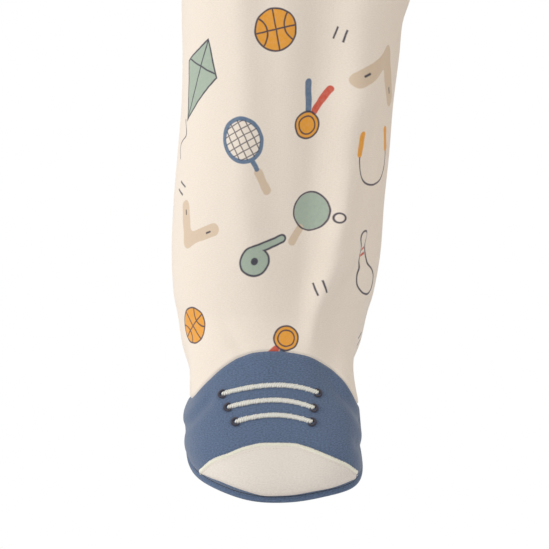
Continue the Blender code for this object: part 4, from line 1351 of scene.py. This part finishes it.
def lay_rib(node, half, outer, normal, inner, cut, from_edges, across, tube=False):
    """A wall of rib knit in place of the solid of that name. across is each column's way across the ribs,
    and from_edges is how far each point lies from each of the two long edges."""
    sizes = bpy.context.scene.suit_sizes
    flat = mirrored_cut(cut, half)
    fade = ease(from_edges[0] / RIB_FADE) * ease(from_edges[1] / RIB_FADE)
    extra = {"out": on_half(normal, half) * fade[..., None], "across": np.broadcast_to(across, fade.shape)}
    base = wall(f"{node}_rib", on_half(outer, half), on_half(inner, half), flat, None, tube, extra)
    values = {"Rib spacing": sizes.rib_spacing, "Rib height": sizes.rib_height}
    values["Material"] = material("cream_rib_knit")
    piece = grown(f"{node}_rib", base, bpy.data.node_groups.get("Rib knit") or rib_tree(), values)
    finish_piece(piece, "cream_rib", node)
    declare_cut(piece, flat)


def make_cuffs():
    levels = SLEEVE_LENGTH + SLEEVE_SEAM + CUFF_LENGTH * near_edges(16, 1 / CUFF_LENGTH)
    columns = 640
    _, _, (smooth, normal) = sleeve_grid(levels, columns, -CUFF_INSET)
    far = edge_distance(smooth, sides=False, top=False)
    beside = edge_distance(smooth, sides=False, bottom=False)
    height = rolled(far) + turned_in(beside, 0.5) - CUFF_INSET - 0.25
    outer = sleeve_grid(levels, columns, height)[2][0]
    inner = sleeve_grid(levels, columns, -CUFF_INSET - RIB + 0.5 - rolled(far) * INNER_ROLL)[2][0]
    girth = run_along(smooth[8])[-1]
    across = whole_ribs(girth, np.arange(columns) / columns)
    cut = tube_cut(smooth)
    for half in HALVES:
        lay_rib(f"cuff_{half}", half, outer, normal, inner, cut, (far, beside), across, tube=True)


def neckline_dip(turn):
    return np.where(turn < 1, neck_dip(turn, NECK_DROP_FRONT), neck_dip(2 - turn, NECK_DROP_BACK))


def neckband_grid(level, turn, side, out):
    """Points of the neckband's face above the neckline. side is -1 on the wearer's right."""
    place, normal = skin(turn, neckline_dip(turn) - level, "left", out)
    flip = np.stack([side, np.ones_like(side), np.ones_like(side)], axis=-1)
    return place * flip, normal * flip


def make_neckband():
    half_turns = np.linspace(2 * TURN_SEAM, 2, 760)
    turns = np.concatenate([half_turns, half_turns[-2::-1]])
    sides = np.concatenate([np.ones(760), -np.ones(759)])
    turn, level = np.meshgrid(turns, NECKBAND_HEIGHT * near_edges(5, 1 / NECKBAND_HEIGHT))
    side = np.broadcast_to(sides, turn.shape)
    smooth, normal = neckband_grid(level, turn, side, 0.0)
    to_rim = NECKBAND_HEIGHT - level
    height = rolled(to_rim) + turned_in(level, 0.6) - 0.3
    outer, _ = neckband_grid(level, turn, side, height)
    inner, _ = neckband_grid(level, turn, side, -RIB - rolled(to_rim) * INNER_ROLL)
    run = run_along(smooth[6])
    across = whole_ribs(run[-1], run / run[-1])
    cut = np.stack([np.broadcast_to(run, level.shape), level], axis=-1) * MM
    lay_rib("neckband", "left", outer, normal, inner, cut, (to_rim, level), across)


# ---------------------------------------------------------------- front band and press studs


def front_place(across, down, out):
    """Points over the centre front, so far across it and moved out, and the ways out there."""
    across, down = levelled(across, down)
    turn = np.arcsin(np.abs(across) / between(TORSO, down)[0]) / (math.pi / 2)
    left, left_normal = skin(turn, down, "left", out)
    right, right_normal = (on_half(grid, "right") for grid in skin(turn, down, "right", out))
    on_left = (across >= 0)[..., None]
    return np.where(on_left, left, right), np.where(on_left, left_normal, right_normal)


def make_front_band():
    top = NECK_DROP_FRONT - BAND_TOP
    length = BAND_END - top
    columns = BAND_HALF * (2 * near_edges(10, 1 / (2 * BAND_HALF)) - 1)
    across, down = np.meshgrid(columns, top + length * near_edges(150, 1 / length))
    smooth, _ = front_place(across, down, 0.0)
    far = edge_distance(smooth)
    face = BAND_RISE + TRIM - (TRIM * 0.8) * np.exp(-((far / BAND_ROUND) ** 2))
    proud, drawn = np.exp(-(((far - 0.9) / 0.5) ** 2)), np.exp(-(((far - BAND_SEWN) / 0.6) ** 2))
    outer, _ = front_place(across, down, face + BAND_DRAWN * (proud - drawn))
    inner, _ = front_place(across, down, UNDERLAP)
    cut = np.stack([across, -down], axis=-1) * MM
    declare_cut(*lay_cloth("front_band", "left", outer, inner, cut, "cream_jersey", "printed_cotton"))


# radius and height of a press stud's cap, as shares, out from its middle
STUD_TURNED = (
    (0.0, 0.60),
    (0.30, 0.60),
    (0.44, 0.63),
    (0.53, 0.80),
    (0.62, 0.97),
    (0.70, 1.0),
    (0.79, 0.97),
    (0.87, 0.88),
    (0.94, 0.70),
    (0.985, 0.48),
    (1.0, 0.25),
    (0.98, 0.0),
    (0.0, 0.0),
)
STUD_STEPS = 40


def mesh_from(bm, name):
    """A mesh of that name, made from the bmesh, which is freed."""
    mesh = bpy.data.meshes.new(name)
    bm.to_mesh(mesh)
    bm.free()
    return mesh


def make_press_studs():
    for i in range(STUD_COUNT):
        down = mix(STUD_FIRST, STUD_LAST, i / (STUD_COUNT - 1))
        place, normal = front_place(0.0, down, BAND_RISE + TRIM - 0.05)
        turned = Vector(normal.tolist()).to_track_quat("Z", "Y").to_matrix()
        middle = Vector(place.tolist())
        bm = bmesh.new()
        rings = []
        for radius, height in STUD_TURNED:
            r, z = radius * STUD_RADIUS, height * STUD_HEIGHT
            angles = [math.tau * k / STUD_STEPS for k in range(STUD_STEPS)] if radius else [0.0]
            ring = [Vector((r * math.cos(a), r * math.sin(a), z)) for a in angles]
            rings.append([bm.verts.new((middle + turned @ point) * MM) for point in ring])
        for a, b in zip(rings, rings[1:]):
            for k in range(STUD_STEPS):
                n = (k + 1) % STUD_STEPS
                corners = dict.fromkeys((a[k % len(a)], b[k % len(b)], b[n % len(b)], a[n % len(a)]))
                bm.faces.new(list(corners))
        bmesh.ops.recalc_face_normals(bm, faces=bm.faces)
        mesh = mesh_from(bm, f"press_stud_{i + 1}_cap")
        mesh.shade_smooth()
        mesh.set_sharp_from_angle(angle=math.radians(50))
        piece = link(mesh.name, mesh, material("stud_enamel"))
        finish_piece(piece, "press_stud", f"press_stud_{i + 1}")


# ---------------------------------------------------------------- feet

# how each kind of stitch is sewn, in metres
CAP_EDGE = {"length": 0.0024, "width": 0.0007, "height": 0.0014, "slant": math.radians(72)}
CAP_ROW = {"spacing": 0.0014, "length": 0.0011, "width": 0.0003, "height": 0.0003}
LACE = {"length": 0.003, "width": 0.0012, "height": 0.0018, "slant": math.radians(57), "uneven": 0.1}
EYELET = {"length": 0.0013, "width": 0.00045, "height": 0.0008, "slant": math.pi / 2, "uneven": 0.1}
EYELET_SPACING = 0.00034


def upper_grid(angles, tops, feet, ways):
    """Turns and levels over the upper, at those angles from the toe and between those levels."""
    turn = np.broadcast_to(0.5 + angles / 180, (len(ways), len(angles)))
    return turn, mix(tops, feet, ways[:, None])


def make_uppers():
    angles = np.linspace(-VAMP_REACH, VAMP_REACH, 180)
    tops = vamp_edge(angles, SEAM)
    turn, down = upper_grid(angles, tops, ANKLE + FOOT_SPAN - SEAM, near_edges(44, 1 / 50))
    cut = cut_places(turn, down, 0.5)
    for half in HALVES:
        far = edge_distance(skin(turn, down, half)[0])
        outer, _ = skin(turn, down, half, turned_in(far, 0.4))
        inner, _ = skin(turn, down, half, -JERSEY)
        declare_cut(*lay_cloth(f"vamp_{half}", half, outer, inner, cut, "blue_jersey", "heathered_blue_knit"))


def cap_rim(angle):
    """Where the toe cap starts and ends, as shares of the foot, at an angle in degrees from the toe."""
    top, foot = between(CAP, angle)
    return 1 - top, 1 - foot


def make_toe_caps():
    spread = np.sin(np.linspace(-math.pi / 2, math.pi / 2, 110))
    angles = np.where(spread > 0, CAP[-1][0], -CAP[0][0]) * spread
    tops, feet = (ANKLE + FOOT_SPAN * share for share in cap_rim(angles))
    turn, down = upper_grid(angles, tops, feet, near_edges(30, 1 / 24))
    cut = cut_places(turn, down, 0.5)
    spacing = bpy.context.scene.suit_sizes.satin_spacing * 0.5
    edge_angles = np.linspace(CAP[0][0] + 0.6, CAP[-1][0] - 0.6, 240)
    edge = cap_rim(edge_angles)[0]
    for half in HALVES:
        node = f"toe_cap_{half}"
        far = edge_distance(skin(turn, down, half)[0])
        outer, _ = skin(turn, down, half, LIFT + TRIM * (0.15 + 0.85 * ease(far / CAP_ROUND)))
        inner, _ = skin(turn, down, half, UNDERLAP)
        piece, flat = lay_cloth(node, half, outer, inner, cut, "cream_jersey", "cap_cotton")
        path = path_on(half, *vamp_skin(edge_angles, edge + CAP_EDGE_AT, half, LIFT + CAP_EDGE_RISE))
        cord = stitched(f"{node}_satin_edge", [path], "cap_edge_satin", spacing, **CAP_EDGE)
        path = path_on(half, *vamp_skin(edge_angles, edge + CAP_ROW_AT, half, LIFT + TRIM))
        row = stitched(f"{node}_stitching", [path], "sewing_thread", **CAP_ROW)
        finish_piece(cord, "lace_thread")
        finish_piece(row, "lace_thread")
        declare_cut(piece, flat, [cord, row])


def sole_place(ring, angle):
    """A place on the sole, on a ring from its middle, 0, to its seam, 5."""
    share, under = between(SOLE, ring)
    seam, outward = sole_point(angle)
    middle = (sole_point(np.array(0.0))[0] + sole_point(np.array(math.pi))[0]) / 2
    return mix(middle, seam, share[..., None]) + UNDER * under[..., None] - outward * SEAM


def make_soles():
    columns = 220
    rings = np.concatenate([np.linspace(0, 2, 20)[:-1], np.linspace(2, 4.6, 24)[:-1], np.linspace(4.6, 5, 8)])
    angle, ring = np.meshgrid(2 * math.pi * np.arange(columns) / columns - math.pi, rings)
    smooth = sole_place(ring, angle)
    across = sole_place(ring, angle + 0.01) - sole_place(ring, angle - 0.01)
    fall = sole_place(np.minimum(ring + 0.02, 5), angle) - sole_place(np.maximum(ring - 0.02, 0), angle)
    normal = unit(np.cross(across, fall))
    normal[0] = UNDER
    normal = normal * np.sign((normal * UNDER).sum(-1).mean())
    normal[0] = UNDER
    far = edge_distance(smooth, sides=False, top=False)
    outer = smooth + normal * turned_in(far, 0.25)[..., None]
    inner = smooth - normal * JERSEY
    from_middle = smooth - smooth[0, 0]
    cut = np.stack([from_middle @ ACROSS, from_middle @ TOEWARD], axis=-1)
    run = run_along(smooth)[..., None]
    flat = unit(np.where(run > 0, cut, 1e-9)) * run * MM
    flat = np.concatenate([flat, flat[:, :1]], axis=1)
    for half in HALVES:
        node = f"sole_{half}"
        finish = ("blue_jersey", "heathered_blue_knit")
        declare_cut(*lay_cloth(node, half, outer, inner, flat, *finish, tube=True))


def lace_place(lace, s):
    """Angle and share along a lace, s from -1 at its inner end to 1."""
    share, outer, inner, sag, tilt = lace
    return np.where(np.asarray(s) > 0, outer, inner) * s, share + tilt * s + sag * s * s


def lace_path(lace, half):
    s = np.linspace(-1, 1, 60)
    wide = 0.75 + 0.25 * ease((1 - np.abs(s)) / 0.04)
    return path_on(half, *vamp_skin(*lace_place(lace, s), half, LACE_RISE), wide)


def eyelet_path(lace, end, half):
    """The hook of stitches round an end of a lace, end -1 or 1."""
    here, normal = vamp_skin(*lace_place(lace, end), half, 0.0)
    before, _ = vamp_skin(*lace_place(lace, end * 0.9), half, 0.0)
    outward = unit(here - before)
    s = np.linspace(-1, 1, 24)
    a = np.radians(EYELET_SWEEP * s)[:, None]
    way = outward * np.cos(a) + np.cross(normal, outward) * np.sin(a)
    place = here + outward * EYELET_BEYOND + way * EYELET_RADIUS + normal * EYELET_RISE
    wide = 0.6 + 0.4 * ease((1 - np.abs(s)) / 0.2)
    return path_on(half, place, np.broadcast_to(normal, place.shape), wide)


def make_laces():
    spacing = bpy.context.scene.suit_sizes.satin_spacing
    for half in HALVES:
        for i, lace in enumerate(LACES, start=1):
            node = f"lace_{i}_{half}"
            piece = stitched(f"{node}_satin", [lace_path(lace, half)], "lace_satin", spacing, **LACE)
            finish_piece(piece, "lace_thread", node)
            for end, side in ((-1, "inner"), (1, "outer")):
                node = f"eyelet_{i}_{side}_{half}"
                path = eyelet_path(lace, end, half)
                piece = stitched(f"{node}_satin", [path], "eyelet_satin", EYELET_SPACING, **EYELET)
                finish_piece(piece, "eyelet_thread", node)


# ---------------------------------------------------------------- top stitching


def make_stitching():
    sizes = bpy.context.scene.suit_sizes
    turn = np.linspace(0.09, 2, 400)
    level = neckline_dip(turn) + NECK_SEWN
    below_neck = [path_on(half, *skin(turn, level, half, 0.12)) for half in HALVES]
    rise = BAND_RISE + TRIM + UNDERLAP
    side = BAND_HALF - BAND_SEWN
    end = BAND_END - BAND_SEWN
    downs = np.linspace(NECK_DROP_FRONT - BAND_TOP + 2, end, 300)
    down_band = [path_on("left", *front_place(at, downs, rise)) for at in (-side, side)]
    down_band.append(path_on("left", *front_place(np.linspace(-side, side, 30), end, rise)))
    row = {"length": sizes.stitch_length, "width": sizes.thread_width, "height": sizes.thread_width}
    for name, paths in (("neckline_stitching", below_neck), ("front_band_stitching", down_band)):
        piece = stitched(name, paths, "sewing_thread", sizes.stitch_length * 1.18, **row, uneven=0.03)
        finish_piece(piece, "cream_jersey")


# ---------------------------------------------------------------- stage


def floor_material():
    """Pale under the suit, and gone further out, where the white of the surroundings shows."""
    made, tree, shader = finish_shader("pale_floor", {"Roughness": 0.9, "Specular IOR Level": 0.1})
    place = own_place(tree)
    from_middle = (place - (0.0, 0.0, FLOOR_DOWN)).length()
    left = ((FLOOR_RADIUS - from_middle) * (1 / (FLOOR_RADIUS - FLOOR_SOLID))).clamped()
    grain = noise(tree, place, 40.0, 2.0)
    shade = blend_colour(tree, grain, tinted((0.84, 0.84, 0.84)), tinted((0.87, 0.87, 0.87)))
    tree.feed(shader, {"Alpha": left * left * (3.0 - 2.0 * left), "Base Color": shade})
    return made


def backdrop_material():
    made = bpy.data.materials.new("backdrop_white")
    made.use_nodes = True
    tree = Tree(made.node_tree)
    light = tree.node("ShaderNodeEmission", inputs={"Color": (1.0, 1.0, 1.0, 1.0), "Strength": 1.0})
    tree.feed(made.node_tree.nodes["Material Output"], {"Surface": light.outputs[0]})
    return made


def make_floor():
    bm = bmesh.new()
    bmesh.ops.create_circle(bm, cap_ends=True, cap_tris=True, segments=96, radius=FLOOR_RADIUS)
    bmesh.ops.translate(bm, verts=bm.verts, vec=(0.0, 0.0, FLOOR_DOWN))
    link("floor", mesh_from(bm, "floor"), floor_material())


def make_backdrop():
    """A white dome all round, which the camera sees and which lights nothing."""
    bm = bmesh.new()
    bmesh.ops.create_icosphere(bm, subdivisions=4, radius=BACKDROP_RADIUS)
    bmesh.ops.reverse_faces(bm, faces=bm.faces)
    made = link("backdrop", mesh_from(bm, "backdrop"), backdrop_material())
    made.visible_diffuse = False
    made.visible_glossy = False
    made.visible_transmission = False
    made.visible_shadow = False


def add_light(name, place, at, size, power, colour):
    light = bpy.data.lights.new(name, "AREA")
    light.shape = "DISK"
    light.size = size
    light.energy = power
    light.color = colour
    made = bpy.data.objects.new(name, light)
    made.location = place
    made.rotation_euler = (Vector(at) - Vector(place)).to_track_quat("-Z", "Y").to_euler()
    made.visible_camera = False
    bpy.context.scene.collection.objects.link(made)


def make_stage():
    scene = bpy.context.scene
    scene.view_settings.view_transform = "Standard"
    scene.world = bpy.data.worlds.new("studio")
    scene.world.use_nodes = True
    tree = Tree(scene.world.node_tree)
    tree.feed(tree.tree.nodes["Background"], {"Color": tinted(AMBIENT_COLOUR), "Strength": AMBIENT})
    make_floor()
    make_backdrop()
    for row in LIGHTS:
        add_light(*row)
    camera = bpy.data.cameras.new("camera")
    camera.sensor_width = SENSOR
    camera.lens = SENSOR / VIEW_WIDTH * VIEW_DISTANCE
    camera.clip_end = 60.0
    made = bpy.data.objects.new("camera", camera)
    made.location = (VIEW_CENTRE[0], -VIEW_DISTANCE - VIEW_PLANE, VIEW_CENTRE[1])
    made.rotation_euler = (math.pi / 2, 0.0, 0.0)
    scene.collection.objects.link(made)
    scene.camera = made


# ---------------------------------------------------------------- operators and panel


class SLEEPSUIT_OT_panels(bpy.types.Operator):
    """Make the fronts and the backs of the body and legs, in printed cotton"""

    bl_idname = "sleepsuit.panels"
    bl_label = "Body and legs"

    def execute(self, context):
        make_panels()
        return {"FINISHED"}


class SLEEPSUIT_OT_sleeves(bpy.types.Operator):
    """Make the two sleeves, each a tube with its seam under the arm"""

    bl_idname = "sleepsuit.sleeves"
    bl_label = "Sleeves"

    def execute(self, context):
        make_sleeves()
        return {"FINISHED"}


class SLEEPSUIT_OT_ribs(bpy.types.Operator):
    """Make the neckband and the cuffs, in rib knit"""

    bl_idname = "sleepsuit.ribs"
    bl_label = "Neckband and cuffs"

    def execute(self, context):
        make_cuffs()
        make_neckband()
        return {"FINISHED"}


class SLEEPSUIT_OT_front_band(bpy.types.Operator):
    """Make the band down the centre front"""

    bl_idname = "sleepsuit.front_band"
    bl_label = "Front band"

    def execute(self, context):
        make_front_band()
        return {"FINISHED"}


class SLEEPSUIT_OT_press_studs(bpy.types.Operator):
    """Make the caps of the press studs on the front band"""

    bl_idname = "sleepsuit.press_studs"
    bl_label = "Press studs"

    def execute(self, context):
        make_press_studs()
        return {"FINISHED"}


class SLEEPSUIT_OT_uppers(bpy.types.Operator):
    """Make the blue uppers of the feet"""

    bl_idname = "sleepsuit.uppers"
    bl_label = "Uppers"

    def execute(self, context):
        make_uppers()
        return {"FINISHED"}


class SLEEPSUIT_OT_soles(bpy.types.Operator):
    """Make the soft blue soles"""

    bl_idname = "sleepsuit.soles"
    bl_label = "Soles"

    def execute(self, context):
        make_soles()
        return {"FINISHED"}


class SLEEPSUIT_OT_toe_caps(bpy.types.Operator):
    """Make the cream toe caps and the satin stitch along their tops"""

    bl_idname = "sleepsuit.toe_caps"
    bl_label = "Toe caps"

    def execute(self, context):
        make_toe_caps()
        return {"FINISHED"}


class SLEEPSUIT_OT_laces(bpy.types.Operator):
    """Make the embroidered laces and the eyelets at their ends"""

    bl_idname = "sleepsuit.laces"
    bl_label = "Laces and eyelets"

    def execute(self, context):
        make_laces()
        return {"FINISHED"}


class SLEEPSUIT_OT_stitching(bpy.types.Operator):
    """Sew the rows of stitches along the neckline and the front band"""

    bl_idname = "sleepsuit.stitching"
    bl_label = "Top stitching"

    def execute(self, context):
        make_stitching()
        return {"FINISHED"}


class SLEEPSUIT_OT_stage(bpy.types.Operator):
    """Set up the floor, the light and the camera"""

    bl_idname = "sleepsuit.stage"
    bl_label = "Stage"

    def execute(self, context):
        make_stage()
        return {"FINISHED"}


class SLEEPSUIT_PT_sidebar(bpy.types.Panel):
    """Lists the suit's pieces and settings"""

    bl_idname = "SLEEPSUIT_PT_sidebar"
    bl_label = "Footed Sleepsuit"
    bl_space_type = "VIEW_3D"
    bl_region_type = "UI"
    bl_category = "Sleepsuit"

    def draw(self, context):
        for operator in OPERATORS:
            self.layout.operator(operator.bl_idname)
        for settings in (context.scene.suit_sizes, context.scene.suit_colours):
            for key in settings.__annotations__:
                self.layout.prop(settings, key)


OPERATORS = (
    SLEEPSUIT_OT_panels,
    SLEEPSUIT_OT_sleeves,
    SLEEPSUIT_OT_ribs,
    SLEEPSUIT_OT_front_band,
    SLEEPSUIT_OT_press_studs,
    SLEEPSUIT_OT_uppers,
    SLEEPSUIT_OT_soles,
    SLEEPSUIT_OT_toe_caps,
    SLEEPSUIT_OT_laces,
    SLEEPSUIT_OT_stitching,
    SLEEPSUIT_OT_stage,
)
CLASSES = (SuitSizes, SuitColours, *OPERATORS, SLEEPSUIT_PT_sidebar)


def register():
    for made in CLASSES:
        bpy.utils.register_class(made)
    bpy.types.Scene.suit_sizes = bpy.props.PointerProperty(type=SuitSizes)
    bpy.types.Scene.suit_colours = bpy.props.PointerProperty(type=SuitColours)


def unregister():
    del bpy.types.Scene.suit_colours
    del bpy.types.Scene.suit_sizes
    for made in reversed(CLASSES):
        bpy.utils.unregister_class(made)


def main():
    register()
    bpy.ops.sleepsuit.panels()
    bpy.ops.sleepsuit.sleeves()
    bpy.ops.sleepsuit.ribs()
    bpy.ops.sleepsuit.front_band()
    bpy.ops.sleepsuit.press_studs()
    bpy.ops.sleepsuit.uppers()
    bpy.ops.sleepsuit.soles()
    bpy.ops.sleepsuit.toe_caps()
    bpy.ops.sleepsuit.laces()
    bpy.ops.sleepsuit.stitching()
    bpy.ops.sleepsuit.stage()


if __name__ == "__main__":
    main()
